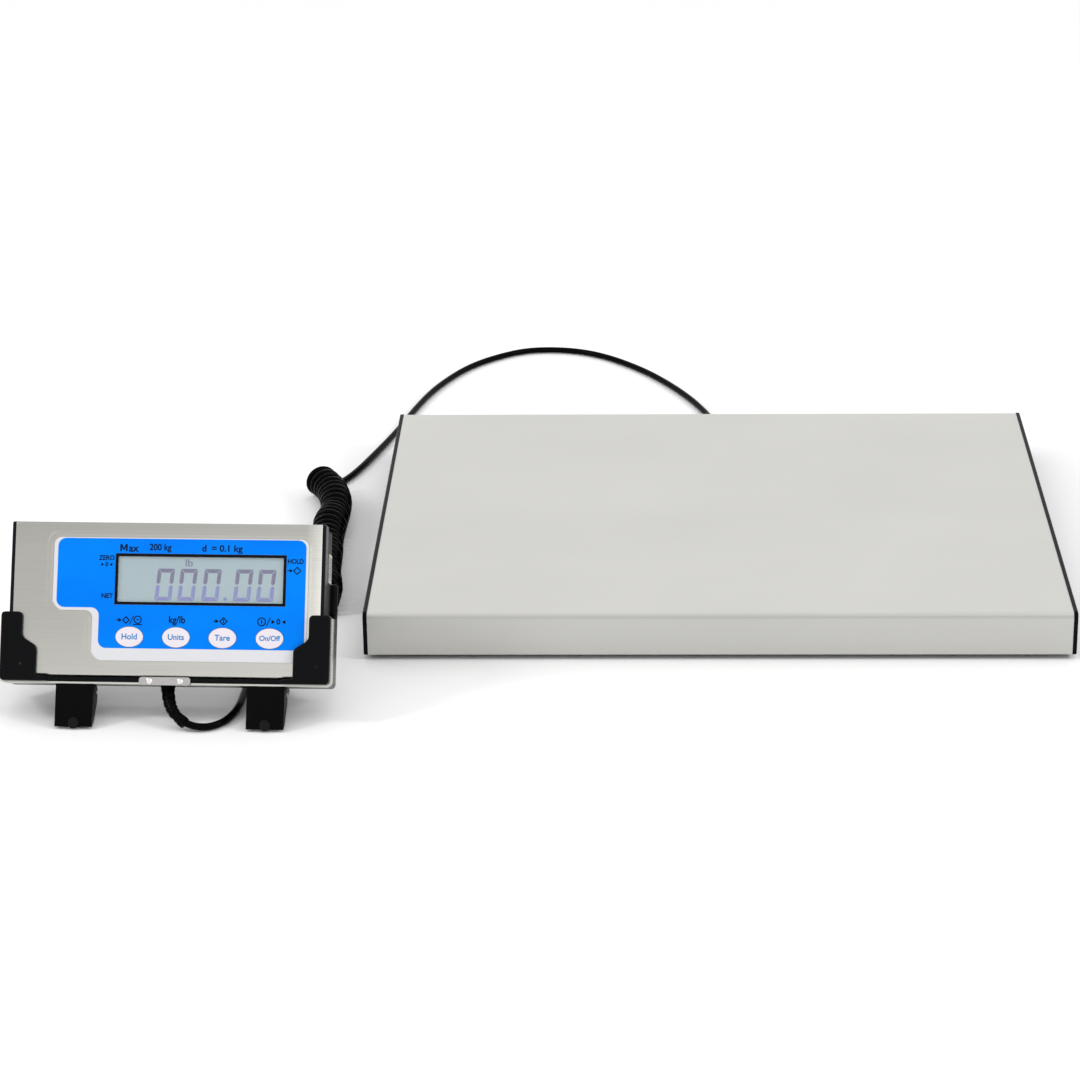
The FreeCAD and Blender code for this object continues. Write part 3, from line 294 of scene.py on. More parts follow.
def sleeve(name, line, radii, sides=28):
    """A round profile carried along a line: round each point lies a ring, square to the line there,
    whose radius is that point's own."""
    along = np.gradient(line, axis=0)
    along /= np.linalg.norm(along, axis=1)[:, None]
    across = np.cross(along, [1.0, 0.0, 0.0])
    across /= np.linalg.norm(across, axis=1)[:, None]
    over = np.cross(along, across)
    angle = np.linspace(0, 2 * np.pi, sides, endpoint=False)
    ring = (across[:, None, :] * np.cos(angle)[None, :, None]
            + over[:, None, :] * np.sin(angle)[None, :, None])
    return grid_piece(name, line[:, None, :] + ring * radii[:, None, None], around=True, capped=True)


relief_path, _ = points_and_faces(smooth_line("relief_path", relief_line))
relief_share = np.linspace(0, 1, 121)
relief_index = relief_share * (len(relief_path) - 1)
relief_path = np.column_stack([np.interp(relief_index, np.arange(len(relief_path)), relief_path[:, k])
                               for k in range(3)])
rib_wave = np.clip(np.sin(relief_share * rib_count * 2 * np.pi) * rib_squareness, -1, 1)
relief_radius = relief_wide + (relief_narrow - relief_wide) * relief_share + rib_rise * rib_wave
relief_radius[relief_share > collar_start] = relief_narrow + collar_rise
relief_sleeve = sleeve("relief_sleeve", relief_path, relief_radius)
relief_sleeve.data.materials.append(cord_jacket)
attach(relief_sleeve, "base")
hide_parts("strain_relief")

# ---- Floor and light ----
# A pale table top that runs far past the scale, under even white studio light, with one soft lamp
# high at the left and one a little lower at the right.
floor_half, floor_drop = 20.0, 0.0001
floor_lines = np.linspace(-floor_half, floor_half, 9)
floor_across, floor_back = np.meshgrid(floor_lines, floor_lines)
floor_grid = np.stack([floor_across, floor_back, np.full_like(floor_back, -floor_drop)], axis=-1)
floor = grid_piece("floor", floor_grid)
floor_paint, floor_shader = finish("floor_paint", (0.95, 0.95, 0.95), 0.9, specular=0.05)
between(floor_paint, noise_on(floor_paint, (0.4, 0.4, 0.4)), (0.945, 0.945, 0.945), (0.955, 0.955, 0.955),
        floor_shader.inputs["Base Color"])
floor.data.materials.append(floor_paint)

surround = bpy.data.worlds.new("surround")
surround.use_nodes = True
studio_white = surround.node_tree.nodes["Background"]
studio_white.inputs["Color"].default_value = (1.0, 1.0, 1.0, 1.0)
studio_white.inputs["Strength"].default_value = 0.98
bpy.context.scene.world = surround
bpy.context.scene.view_settings.view_transform = "Standard"


def soft_lamp(name, place, aim, wide, high, power):
    """A flat rectangular lamp at a place, turned to face its aim."""
    light = bpy.data.lights.new(name, "AREA")
    light.shape = "RECTANGLE"
    light.size = wide
    light.size_y = high
    light.energy = power
    back = np.array(place, float) - np.array(aim)
    back /= np.linalg.norm(back)
    side = np.cross([0.0, 0.0, 1.0], back)
    side /= np.linalg.norm(side)
    set_out(name, light).matrix_world = standing_at(place, side, np.cross(back, side), back)


lamp_wide, lamp_high, lamp_power = 0.25, 0.5, 11.0
soft_lamp("left_lamp", (-2.0, -0.5, 1.7), (-0.2, 0.0, 0.0), lamp_wide, lamp_high, lamp_power)
soft_lamp("right_lamp", (1.9, -0.7, 1.4), (-0.1, -0.1, 0.0), lamp_wide, lamp_high, lamp_power)

# ---- Weighing pan ----
# The stainless skin of the platform, folded down at the front and the back. Its grain runs along the
# long side, and handling has left broad faint patches in the polish.
grain_long, grain_fine = 0.35, 0.0007
# painted shade: greys by height that darken the folded skirt and put a dark line at the bend, standing for
# its darker reflections
painted_skirt_shade = ((0.003, 0.78), (0.006, 0.79), (0.030, 0.79), (0.0325, 0.72), (0.0345, 0.94), (0.035, 1.0))


def dress(material, *nodes):
    """Gives CAD parts their finish."""
    for node in nodes:
        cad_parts[node].data.materials.clear()
        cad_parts[node].data.materials.append(material)


def brushed(name, colour, roughness, grain_cell, turn=(0.0, 0.0, 0.0), contrast=0.05):
    """Brushed sheet: noise drawn out far along the grain shades the metal, roughens it and cuts fine
    lines into it, and broad noise adds the faint patches."""
    material, shader = finish(name, colour, roughness, metallic=1.0)
    nodes, links = material.node_tree.nodes, material.node_tree.links
    grain = noise_on(material, grain_cell, turn, detail=5.0)
    patches = noise_on(material, (0.16, 0.09, 0.09), turn, detail=2.0)
    both = nodes.new("ShaderNodeMix")
    both.data_type = "FLOAT"
    both.inputs["Factor"].default_value = 0.45
    links.new(grain, both.inputs["A"])
    links.new(patches, both.inputs["B"])
    between(material, both.outputs["Result"], shade(colour, 1 - contrast), shade(colour, 1 + contrast),
            shader.inputs["Base Color"])
    between(material, grain, roughness - 0.07, roughness + 0.07, shader.inputs["Roughness"])
    relief(material, shader, grain, 0.00004, 0.5)
    return material


def way_along(material, axis, start, end, place=(0.0, 0.0, 0.0), turn=(0.0, 0.0, 0.0)):
    """How far along one axis a point lies, from 0 at the start to 1 at the end, in metres from a
    place, with the axes turned as the place is."""
    nodes, links = material.node_tree.nodes, material.node_tree.links
    where = nodes.new("ShaderNodeTexCoord")
    level = nodes.new("ShaderNodeMapping")
    level.vector_type = "TEXTURE"
    level.inputs["Location"].default_value = place
    level.inputs["Rotation"].default_value = turn
    split = nodes.new("ShaderNodeSeparateXYZ")
    scale = nodes.new("ShaderNodeMapRange")
    scale.inputs["From Min"].default_value = start
    scale.inputs["From Max"].default_value = end
    links.new(where.outputs["Object"], level.inputs["Vector"])
    links.new(level.outputs["Vector"], split.inputs["Vector"])
    links.new(split.outputs[axis], scale.inputs["Value"])
    return scale.outputs["Result"]


def paint_shade_along(material, axis, stops, place=(0.0, 0.0, 0.0), turn=(0.0, 0.0, 0.0)):
    """Paints light and shade into a material's colour: multiplies it by a grey that follows one axis
    from a place, given as distances in metres and greys."""
    nodes, links = material.node_tree.nodes, material.node_tree.links
    colour = nodes["Principled BSDF"].inputs["Base Color"]
    ramp = nodes.new("ShaderNodeValToRGB")
    for index, (height, grey) in enumerate(stops):
        share = (height - stops[0][0]) / (stops[-1][0] - stops[0][0])
        if 0 < index < len(stops) - 1:
            ramp.color_ramp.elements.new(share)
        ramp.color_ramp.elements[index].color = (grey, grey, grey, 1.0)
    multiply = nodes.new("ShaderNodeMix")
    multiply.data_type = "RGBA"
    multiply.blend_type = "MULTIPLY"
    multiply.inputs["Factor"].default_value = 1.0
    links.new(way_along(material, axis, stops[0][0], stops[-1][0], place, turn), ramp.inputs["Fac"])
    links.new(colour.links[0].from_socket, multiply.inputs["A"])
    links.new(ramp.outputs["Color"], multiply.inputs["B"])
    links.new(multiply.outputs["Result"], colour)


pan_steel = brushed("pan_steel", (0.670, 0.665, 0.633), 0.36, (grain_long, grain_fine, grain_fine),
                    contrast=0.045)
# paints the skirt's shade and the bend's dark line into the steel's colour
paint_shade_along(pan_steel, "Z", painted_skirt_shade)
dress(pan_steel, "pan_skin")

# ---- Pan end strips ----
# Two black moulded strips that close the skin's cut ends. Their edges are rounded and catch a thin
# line of light.
strip_plastic = moulded("strip_plastic", (0.002, 0.002, 0.005), 0.24, 0.05)
dress(strip_plastic, "trim_left", "trim_right")

# ---- Under the pan ----
# The welded stiffening frame and the folded base tray, both in black paint, the aluminium load cells
# with their plated bolts and spacers, and the rubber pads and feet.
black_paint, black_paint_shader = finish("black_paint", (0.006, 0.006, 0.0065), 0.45, specular=0.2)
relief(black_paint, black_paint_shader, noise_on(black_paint, (0.0015, 0.0015, 0.0015)), 0.00006, 0.5)
between(black_paint, noise_on(black_paint, (0.05, 0.05, 0.05)), 0.38, 0.52,
        black_paint_shader.inputs["Roughness"])
dress(black_paint, "pan_frame", "base_frame")
cell_metal = brushed("cell_metal", (0.70, 0.70, 0.71), 0.32, (0.05, 0.0008, 0.0008))
dress(cell_metal, "load_cell_front_left", "load_cell_front_right", "load_cell_back_left",
      "load_cell_back_right")
plated = brushed("plated", (0.58, 0.58, 0.57), 0.3, (0.002, 0.002, 0.0006), contrast=0.08)
dress(plated, "foot_fasteners", "cell_bolts", "cell_spacers", "board_screws", "cover_screws", "leg_pins")
soft_rubber = moulded("soft_rubber", (0.006, 0.006, 0.006), 0.72, 0.12, grain=0.0009, variation=0.2)
dress(soft_rubber, "load_pads", "rubber_feet", "heel_pads", "leg_foot_left", "leg_foot_right")

# ---- Wiring inside ----
# The junction board and the main board in green lacquer, their white posts and terminal strip, the
# cell wires and the two nuts and glands that pass the lead through the walls.
lacquer, lacquer_shader = finish("lacquer", (0.02, 0.16, 0.06), 0.3, coat=0.5)
between(lacquer, noise_on(lacquer, (0.004, 0.004, 0.0016)), (0.015, 0.12, 0.045), (0.03, 0.20, 0.08),
        lacquer_shader.inputs["Base Color"])
dress(lacquer, "main_board", "junction_board")
white_nylon = moulded("white_nylon", (0.72, 0.72, 0.70), 0.45, 0.4, variation=0.03)
dress(white_nylon, "display_holder", "light_guide", "board_posts", "cover_pillars", "junction_standoffs")
gland_plastic = moulded("gland_plastic", (0.003, 0.003, 0.0035), 0.34, 0.1)
dress(gland_plastic, "platform_gland", "platform_gland_nut", "indicator_gland", "terminal_strip",
      "key_switches", "power_jack", "battery_box")
wire_jacket = moulded("wire_jacket", (0.02, 0.02, 0.022), 0.4, 0.4)
dress(wire_jacket, "inner_wires")
cell_wrap, cell_wrap_shader = finish("cell_wrap", (0.05, 0.05, 0.06), 0.3, coat=0.6)
between(cell_wrap, noise_on(cell_wrap, (0.02, 0.02, 0.02)), (0.04, 0.04, 0.05), (0.08, 0.08, 0.09),
        cell_wrap_shader.inputs["Base Color"])
dress(cell_wrap, "batteries")

# ---- Indicator front ----
# One stainless sheet: the face, its rolled upper and lower edges and the flanges behind them. The
# panel's stepped bed is pressed in, with a low bead round it.
housing_at = np.array([-0.2566, -0.2382, 0.0323])
tilt_back, turn_right = np.radians(30.0), np.radians(-2.0)
housing_turn = (-tilt_back, 0.0, turn_right)
# sizes in millimetres, from the middle of the face's lower edge
face_half, face_height, flange_depth, edge_bend, sheet_thickness = 105.0, 105.0, 30.8, 2.0, 0.9
panel_middle, panel_half, notch_corner = (8.9, 52.55), (88.7, 43.55), (-52.2, 43.0)
panel_corner, notch_rounding = 6.0, 14.0
bed_depth, bed_wall_start, bed_wall_width = 0.8, 0.6, 2.0
bead_height, bead_place, bead_width = 0.45, 1.6, 0.9
window_middle, window_half, window_frame = (22.6, 66.2), (58.4, 17.45), 1.9
key_places = {"hold": -24.8, "units": 7.1, "tare": 38.8, "power": 70.9}
key_height, key_half, key_clearance = 26.8, (9.4, 6.9), 0.9
grid_step, face_limit = 0.8, 1.5


def on_housing(points):
    """Takes points given in millimetres across the face, behind it and up it, leans them back about
    the across line, turns them about the vertical, sets them at the housing's place, in metres."""
    across, behind, up = np.moveaxis(np.asarray(points, float), -1, 0) / 1000
    back = behind * np.cos(tilt_back) + up * np.sin(tilt_back)
    high = up * np.cos(tilt_back) - behind * np.sin(tilt_back)
    return np.stack([across * np.cos(turn_right) - back * np.sin(turn_right),
                     across * np.sin(turn_right) + back * np.cos(turn_right), high], axis=-1) + housing_at


def from_panel_edge(across, up):
    """Distance from the panel's outline, below zero inside it: a round-cornered rectangle, less a
    round-cornered notch at the lower left, with the corners between the two rounded as well."""
    beyond_sides = np.stack([np.abs(across - panel_middle[0]) - panel_half[0],
                             np.abs(up - panel_middle[1]) - panel_half[1]])
    beyond_notch = np.stack([across - notch_corner[0], up - notch_corner[1]])
    rectangle, notch = (np.minimum(beyond.max(axis=0), 0) + np.hypot(*np.maximum(beyond, 0)) - panel_corner
                        for beyond in (beyond_sides + panel_corner, beyond_notch + panel_corner))
    overlap = np.maximum(notch_rounding - np.abs(rectangle + notch), 0) / notch_rounding
    return np.maximum(rectangle, -notch) + overlap ** 2 * notch_rounding / 4


def steel_front_grid():
    """The sheet's section, flange, bend, face, bend, flange, carried across the face. On the face
    each point sinks by a smooth step across the panel's edge and rises by a bell-shaped bead."""
    bend = np.linspace(0, np.pi / 2, 7)
    opening_half = np.array(window_half) - window_frame
    opening_low, opening_high = window_middle - opening_half, window_middle + opening_half
    face_lines = np.unique(np.concatenate([
        np.arange(edge_bend, face_height - edge_bend, grid_step),
        [opening_low[1], opening_high[1], face_height - edge_bend]]))
    depth = np.concatenate([np.linspace(flange_depth, edge_bend, 6)[:-1],
                            edge_bend * (1 - np.sin(bend)), np.zeros(len(face_lines) - 2),
                            edge_bend * (1 - np.cos(bend)),
                            np.linspace(edge_bend, flange_depth, 6)[1:]])
    height = np.concatenate([np.zeros(5), edge_bend * (1 - np.cos(bend)), face_lines[1:-1],
                             face_height - edge_bend * (1 - np.sin(bend)), np.full(5, face_height)])
    across_lines = np.unique(np.concatenate([
        np.arange(-face_half, face_half, grid_step), [face_half, opening_low[0], opening_high[0]]]))
    across, up = np.meshgrid(across_lines, height)
    behind = np.repeat(depth[:, None], len(across_lines), axis=1)
    edge = from_panel_edge(across, up)
    step = np.clip((bed_wall_start - edge) / bed_wall_width, 0, 1)
    bead = bead_height * np.exp(-((edge - bead_place) / bead_width) ** 2)
    pressed = bed_depth * step ** 2 * (3 - 2 * step) - bead
    behind = behind + np.where(behind < 0.001, pressed, 0)
    middle_across = (across[:-1, :-1] + across[1:, 1:]) / 2
    middle_up = (up[:-1, :-1] + up[1:, 1:]) / 2
    open_cells = ((np.abs(middle_across - window_middle[0]) < opening_half[0])
                  & (np.abs(middle_up - window_middle[1]) < opening_half[1]))
    for place in key_places.values():
        open_cells |= np.hypot((middle_across - place) / (key_half[0] + key_clearance),
                               (middle_up - key_height) / (key_half[1] + key_clearance)) < 1
    return np.stack([across, behind, up], axis=-1), open_cells & (behind[:-1, :-1] <= face_limit)


front_points, front_openings = steel_front_grid()
steel_front = grid_piece("steel_front", on_housing(front_points), holes=front_openings)
sheet_wall = steel_front.modifiers.new("sheet_wall", "SOLIDIFY")
sheet_wall.thickness = sheet_thickness / 1000
sheet_wall.offset = -1.0
# painted shade and light: by height the face darkens towards its top, and across it brightens towards the
# right edge, standing for reflections
painted_shade_up_the_face = ((0.0, 1.12), (0.035, 0.98), (0.085, 0.92), (0.104, 0.84))
painted_light_across_the_face = ((-0.105, 0.95), (0.0, 1.0), (0.094, 1.08), (0.105, 1.7))
face_steel = brushed("face_steel", (0.510, 0.505, 0.468), 0.33, (0.06, 0.0005, 0.0005), housing_turn,
                     contrast=0.06)
# paints this shade and light into the face steel's colour
paint_shade_along(face_steel, "Z", painted_shade_up_the_face, housing_at, housing_turn)
paint_shade_along(face_steel, "X", painted_light_across_the_face, housing_at, housing_turn)
steel_front.data.materials.append(face_steel)
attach(steel_front, "base")
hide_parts("front_shell")

# ---- Printed panel ----
# A clear film printed from behind lies in the bed: white to its edges, with a blue field that leaves
# a white band at the left and along the bottom. Its marks are printed in dark ink.
film_front, blue_proud, marks_proud, print_thickness = 0.45, 0.02, 0.06, 0.03
blue_corners = [(-75.6, 93.9), (-75.6, 46.5), (-46.2, 46.5), (-46.2, 19.0), (94.4, 19.0), (94.4, 93.9)]
blue_corner, window_gap, key_gap = 5.5, 0.1, 0.3

film_white = moulded("film_white", (0.68, 0.68, 0.71), 0.32, 0.25, variation=0.01)
dress(film_white, "overlay_film")


def rounded_loop(corners, radius, steps=10):
    """A closed outline of straight sides whose corners are arcs: from each corner the arc's middle
    lies inwards on the bisector, and its points sweep from one side's direction to the other's."""
    corners = np.array(corners, float)
    before = np.roll(corners, 1, axis=0) - corners
    after = np.roll(corners, -1, axis=0) - corners
    before /= np.linalg.norm(before, axis=1)[:, None]
    after /= np.linalg.norm(after, axis=1)[:, None]
    turn = np.linspace(0, 1, steps)[None, :, None]
    start = corners[:, None, :] + before[:, None, :] * radius
    end = corners[:, None, :] + after[:, None, :] * radius
    centre = corners[:, None, :] + (before + after)[:, None, :] * radius
    swing = turn * np.pi / 2
    return (centre + (start - centre) * np.cos(swing) + (end - centre) * np.sin(swing)).reshape(-1, 2)


def oval_loop(middle, half, steps=48):
    """A closed oval: cosine and sine of an even turn, times the half width and the half height."""
    angle = np.linspace(0, 2 * np.pi, steps, endpoint=False)
    return np.column_stack([middle[0] + half[0] * np.cos(angle), middle[1] + half[1] * np.sin(angle)])


def filled(loops):
    """Fills outlines on the flat; an outline inside another cuts a hole."""
    curve = bpy.data.curves.new("outline", "CURVE")
    curve.dimensions = "2D"
    curve.fill_mode = "BOTH"
    curve.extrude = print_thickness / 2
    for loop in loops:
        line = curve.splines.new("POLY")
        line.points.add(len(loop) - 1)
        flat = np.column_stack([loop, np.zeros(len(loop)), np.ones(len(loop))])
        line.points.foreach_set("co", flat.ravel())
        line.use_cyclic_u = True
    return points_and_faces(set_out("outline", curve))


def words(text, middle, size, width=1.0, weight=0.0):
    """A line of plain letters, centred on a place of the panel, widened by a factor, its strokes
    thickened by the weight on each side."""
    curve = bpy.data.curves.new("words", "FONT")
    curve.body = text
    curve.size = size
    curve.align_x = "CENTER"
    curve.align_y = "CENTER"
    curve.offset = weight
    curve.extrude = print_thickness / 2
    points, faces = points_and_faces(set_out("words", curve))
    return points * [width, 1.0, 1.0] + [*middle, 0.0], faces


def close_seams(work):
    """Merges the doubled points where a filled outline's faces meet its walls."""
    bmesh.ops.remove_doubles(work, verts=work.verts, dist=0.000001)


def printed(name, parts, depth, material, body):
    """Joins flat parts into one piece and lays it on the housing at a depth behind the face."""
    counts = np.cumsum([0] + [len(points) for points, _ in parts])
    points = np.vstack([points for points, _ in parts])
    faces = [[int(i + start) for i in face] for (_, own), start in zip(parts, counts) for face in own]
    upright_points = np.column_stack([points[:, 0], depth - points[:, 2], points[:, 1]])
    mesh = bpy.data.meshes.new(name)
    mesh.from_pydata(on_housing(upright_points).tolist(), [], faces)
    reworked(mesh, close_seams)
    mesh.materials.append(material)
    piece = set_out(name, mesh)
    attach(piece, body)


blue_ink, blue_ink_shader = finish("blue_ink", (0.0, 0.21, 0.88), 0.33, specular=0.04)
between(blue_ink, noise_on(blue_ink, (0.05, 0.02, 0.02), housing_turn), (0.0, 0.180, 0.84),
        (0.0, 0.215, 0.87), blue_ink_shader.inputs["Base Color"])
window_corners = np.array([(-1, -1), (1, -1), (1, 1), (-1, 1)])
window_loop = window_middle + window_corners * (np.array(window_half) + window_gap)
key_loops = [oval_loop((place, key_height), np.array(key_half) + key_gap) for place in key_places.values()]
printed("blue_field", [filled([rounded_loop(blue_corners, blue_corner), window_loop] + key_loops)],
        film_front - blue_proud, blue_ink, "base")

dark_ink, dark_ink_shader = finish("dark_ink", (0.004, 0.006, 0.02), 0.45, specular=0.06)
between(dark_ink, noise_on(dark_ink, (0.004, 0.004, 0.004)), (0.002, 0.004, 0.014), (0.004, 0.008, 0.028),
        dark_ink_shader.inputs["Base Color"])


def ring_mark(middle, radius, stroke):
    """A ring: one circle inside another, a stroke apart."""
    return [oval_loop(middle, (r, r), 32) for r in (radius, radius - stroke)]


def diamond_mark(middle, radius, stroke):
    """An open diamond: one square on its corner inside another, a stroke apart along its sides."""
    square = np.array([(-1, 0), (0, -1), (1, 0), (0, 1)], float)
    return [np.array(middle) + square * reach for reach in (radius, radius - stroke * 1.4)]


def arrow_mark(tip, size, direction):
    """A solid triangle with its tip at a place, pointing right for 1 and left for -1."""
    return [np.array(tip) + size * np.array([(0, 0), (-direction, 0.6), (-direction, -0.6)])]


def bar_mark(left, right, low, high):
    """A solid bar, as the four corners between its sides."""
    return [np.array([(left, low), (right, low), (right, high), (left, high)], float)]


def slash_mark(middle, height):
    """A leaning stroke, its top as far to the right of its middle as its foot is to the left."""
    lean, half = height * 0.22, height / 2
    corners = [(-lean - 0.3, -half), (-lean + 0.3, -half), (lean + 0.3, half), (lean - 0.3, half)]
    return [np.array(middle) + np.array(corners)]


def stem(left, right, middle):
    """The short tail of an arrow, as thick as the other strokes."""
    return bar_mark(left, right, middle - 0.32, middle + 0.32)


mark_row = 38.2
arrow = {"right": 1, "left": -1}
mark_groups = [
    # the M of the capacity mark, its four strokes as one outline
    [np.array([(0, 0), (0, 4.8), (1.25, 4.8), (2.5, 2.1), (3.75, 4.8), (5, 4.8), (5, 0), (3.9, 0),
               (3.9, 3.0), (2.9, 0.8), (2.1, 0.8), (1.1, 3.0), (1.1, 0)]) + [-33.0, 85.2]],
    # hold: an arrow into a diamond, a stroke, and a ring on a line
    arrow_mark((-30.2, mark_row), 2.4, arrow["right"]), stem(-34.2, -32.6, mark_row),
    diamond_mark((-27.4, mark_row), 2.7, 0.75), slash_mark((-23.6, mark_row), 6.0),
    ring_mark((-19.4, mark_row + 0.3), 2.8, 0.7), bar_mark(-20.3, -18.5, mark_row, mark_row + 0.6),
    bar_mark(-22.4, -16.4, mark_row - 3.3, mark_row - 2.6),
    # tare: an arrow into a diamond that holds a short bar
    arrow_mark((36.1, mark_row), 2.4, arrow["right"]), stem(32.2, 33.7, mark_row),
    diamond_mark((39.2, mark_row), 3.0, 0.75), bar_mark(38.8, 39.6, mark_row - 1.3, mark_row + 1.3),
    # power: a ring with a bar, a stroke, and a nought between two arrows
    ring_mark((65.2, mark_row), 3.0, 0.75), bar_mark(64.8, 65.6, mark_row - 1.3, mark_row + 1.3),
    slash_mark((69.8, mark_row), 6.0), arrow_mark((74.4, mark_row), 2.5, arrow["right"]),
    arrow_mark((78.9, mark_row), 2.5, arrow["left"]),
    # beside the display: zero and hold
    arrow_mark((-43.7, 76.0), 2.0, arrow["right"]), arrow_mark((-40.1, 76.0), 2.0, arrow["left"]),
    arrow_mark((85.5, 73.2), 2.1, arrow["right"]), stem(81.7, 83.4, 73.2),
    diamond_mark((88.4, 73.2), 2.9, 0.7),
]
mark_words = [
    words("ax", (-23.9, 87.1), 7.0, 1.0, 0.16), words("200 kg", (-5.5, 88.0), 6.2, 0.90, 0.13),
    words("d", (24.6, 87.6), 6.4, 1.0, 0.16), words("= 0.1 kg", (40.0, 87.6), 6.2, 1.05, 0.14),
    words("ZERO", (-42.0, 80.4), 4.5, 0.92, 0.12), words("0", (-41.9, 76.0), 3.9, 1.0, 0.12),
    words("NET", (-41.0, 54.4), 4.6, 0.92, 0.12), words("HOLD", (87.2, 79.4), 4.5, 0.88, 0.12),
    words("kg/lb", (7.4, 38.6), 6.8, 0.88, 0.15), words("0", (76.6, mark_row), 5.2, 1.0, 0.15),
]
printed("panel_marks", mark_words + [filled(group) for group in mark_groups],
        film_front - marks_proud, dark_ink, "base")

# ---- Keys ----
# Four oval caps in pinkish white plastic stand through the panel over their switches. Each has its
# name printed on it in blue.
key_cap_plastic = moulded("key_cap_plastic", (0.76, 0.71, 0.77), 0.35, 0.45, variation=0.015)
legend_ink, legend_ink_shader = finish("legend_ink", (0.0, 0.20, 0.50), 0.4, specular=0.1)
between(legend_ink, noise_on(legend_ink, (0.003, 0.003, 0.003)), (0.0, 0.17, 0.45), (0.0, 0.21, 0.55),
        legend_ink_shader.inputs["Base Color"])
key_front, legend_proud, legend_width, legend_weight = 0.1, 0.02, 0.98, 0.10
key_legends = {"hold": ("Hold", 5.6), "units": ("Units", 5.4), "tare": ("Tare", 5.6),
               "power": ("On/Off", 4.9)}
for key_name, place in key_places.items():
    dress(key_cap_plastic, f"key_{key_name}")
    legend, legend_size = key_legends[key_name]
    printed(f"legend_{key_name}",
            [words(legend, (place, key_height), legend_size, legend_width, legend_weight)],
            key_front - legend_proud, legend_ink, f"key_{key_name}_cap")

# ---- Display ----
# A grey-green liquid crystal glass behind a clear window in a black frame. Five slanted numerals made
# of six bars each, a point and the unit show in grey violet.
frame_plastic = moulded("frame_plastic", (0.002, 0.002, 0.004), 0.4, 0.1)
dress(frame_plastic, "window_bezel")
clear_pane, clear_pane_shader = finish("clear_pane", (0.9, 0.95, 0.95), 0.06, specular=0.2)
clear_pane_shader.inputs["Alpha"].default_value = 0.06
relief(clear_pane, clear_pane_shader, noise_on(clear_pane, (0.02, 0.02, 0.02)), 0.00005, 0.2)
dress(clear_pane, "display_window")
crystal_glass, crystal_shader = finish("crystal_glass", (0.32, 0.42, 0.455), 0.35, specular=0.15)
between(crystal_glass, noise_on(crystal_glass, (0.08, 0.05, 0.05), housing_turn), (0.31, 0.405, 0.445),
        (0.335, 0.43, 0.465), crystal_shader.inputs["Base Color"])
dress(crystal_glass, "display_glass")

numeral_height, numeral_width, bar_width, bar_gap = 21.9, 11.6, 2.7, 0.28
numeral_foot, numeral_lean, numeral_depth = 51.9, 0.095, 1.82
numeral_left = (-8.9, 6.8, 23.2, 44.8, 60.5)
point_middle, point_radius = (39.6, 53.4), 1.25


def numeral_bars(left, foot):
    """A nought of six bars: long hexagons with mitred ends and a hair's gap between neighbours, all
    leaning to the right by a share of their height."""
    wide, high, thick, gap = numeral_width, numeral_height, bar_width, bar_gap
    half, mitre = high / 2, gap * 0.4
    top = np.array([(gap, high), (wide - gap, high), (wide - thick - mitre, high - thick),
                    (thick + mitre, high - thick)])
    upper = np.array([(0, high - gap), (thick - mitre, high - thick - gap), (thick, half + thick * 0.55),
                      (thick * 0.5, half + gap), (0, half + thick * 0.5)])
    low, lower = top * [1, -1] + [0, high], upper * [1, -1] + [0, high]
    bars = [top, low, upper, lower, upper * [-1, 1] + [wide, 0], lower * [-1, 1] + [wide, 0]]
    return [bar @ [[1, 0], [numeral_lean, 1]] + [left, foot] for bar in bars]


# the upper bars are greyer than the lower ones, and the change lies at the middle of the numerals
numeral_shade, numeral_shader = finish("numeral_shade", (0.16, 0.16, 0.33), 0.5, specular=0.1)
between(numeral_shade, way_along(numeral_shade, "Z", 0.0575, 0.0675, housing_at, housing_turn),
        (0.19, 0.20, 0.45), (0.13, 0.115, 0.22), numeral_shader.inputs["Base Color"])
numeral_loops = [bar for left in numeral_left for bar in numeral_bars(left, numeral_foot)]
numeral_loops.append(oval_loop(point_middle, (point_radius, point_radius), 24))
unit_letters = words("lb", (14.2, 77.6), 6.9, 1.12, 0.07)
printed("numerals", [filled([loop]) for loop in numeral_loops] + [unit_letters],
        numeral_depth, numeral_shade, "base")

# ---- Side caps ----
# Dark blue-black moulded caps that close the two ends of the steel front and are pressed in between
# its flanges.
cap_plastic = moulded("cap_plastic", (0.004, 0.0035, 0.009), 0.25, 0.12)
dress(cap_plastic, "end_cap_left", "end_cap_right")

# ---- Back of the housing ----
# A folded back in black paint with four plated screws, a sliding black battery door, the serial
# socket's bright shield and the round power socket.
dress(black_paint, "rear_cover")
dress(moulded("door_plastic", (0.005, 0.005, 0.0055), 0.42, 0.18), "battery_door")
dress(brushed("socket_shield", (0.90, 0.88, 0.87), 0.3, (0.004, 0.001, 0.001), housing_turn), "data_port")

# ---- Cradle ----
# A black glass-filled moulding holds the housing by two corner clips, a tray and a back plate. Its
# edges are softly rounded, as the mould leaves them, and catch the light.
moulding_square = 0.0009
moulding_passes, moulding_softness = 5, 0.5
clip_front, dimple_places = -0.0027, ((-0.1007, 0.0098), (0.1007, 0.0098))
dimple_radius, dimple_depth, dimple_wall = 0.0037, 0.0005, 0.0010


def merged_copy(node, name):
    """A copy of a CAD part's mesh with its doubled points merged and its flat faces made whole."""
    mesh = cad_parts[node].data.copy()
    mesh.name = name
    reworked(mesh, make_whole)
    mesh.materials.clear()
    return mesh


def make_whole(work):
    """Merges doubled points and joins the triangles that lie flat together."""
    bmesh.ops.remove_doubles(work, verts=work.verts, dist=0.000002)
    bmesh.ops.dissolve_limit(work, angle_limit=0.02, verts=work.verts, edges=work.edges)


def moved(mesh, change):
    """Puts every point of a mesh through a function of the whole array of points."""
    points = np.empty(len(mesh.vertices) * 3)
    mesh.vertices.foreach_get("co", points)
    mesh.vertices.foreach_set("co", np.ascontiguousarray(change(points.reshape(-1, 3))).ravel())
    mesh.update()


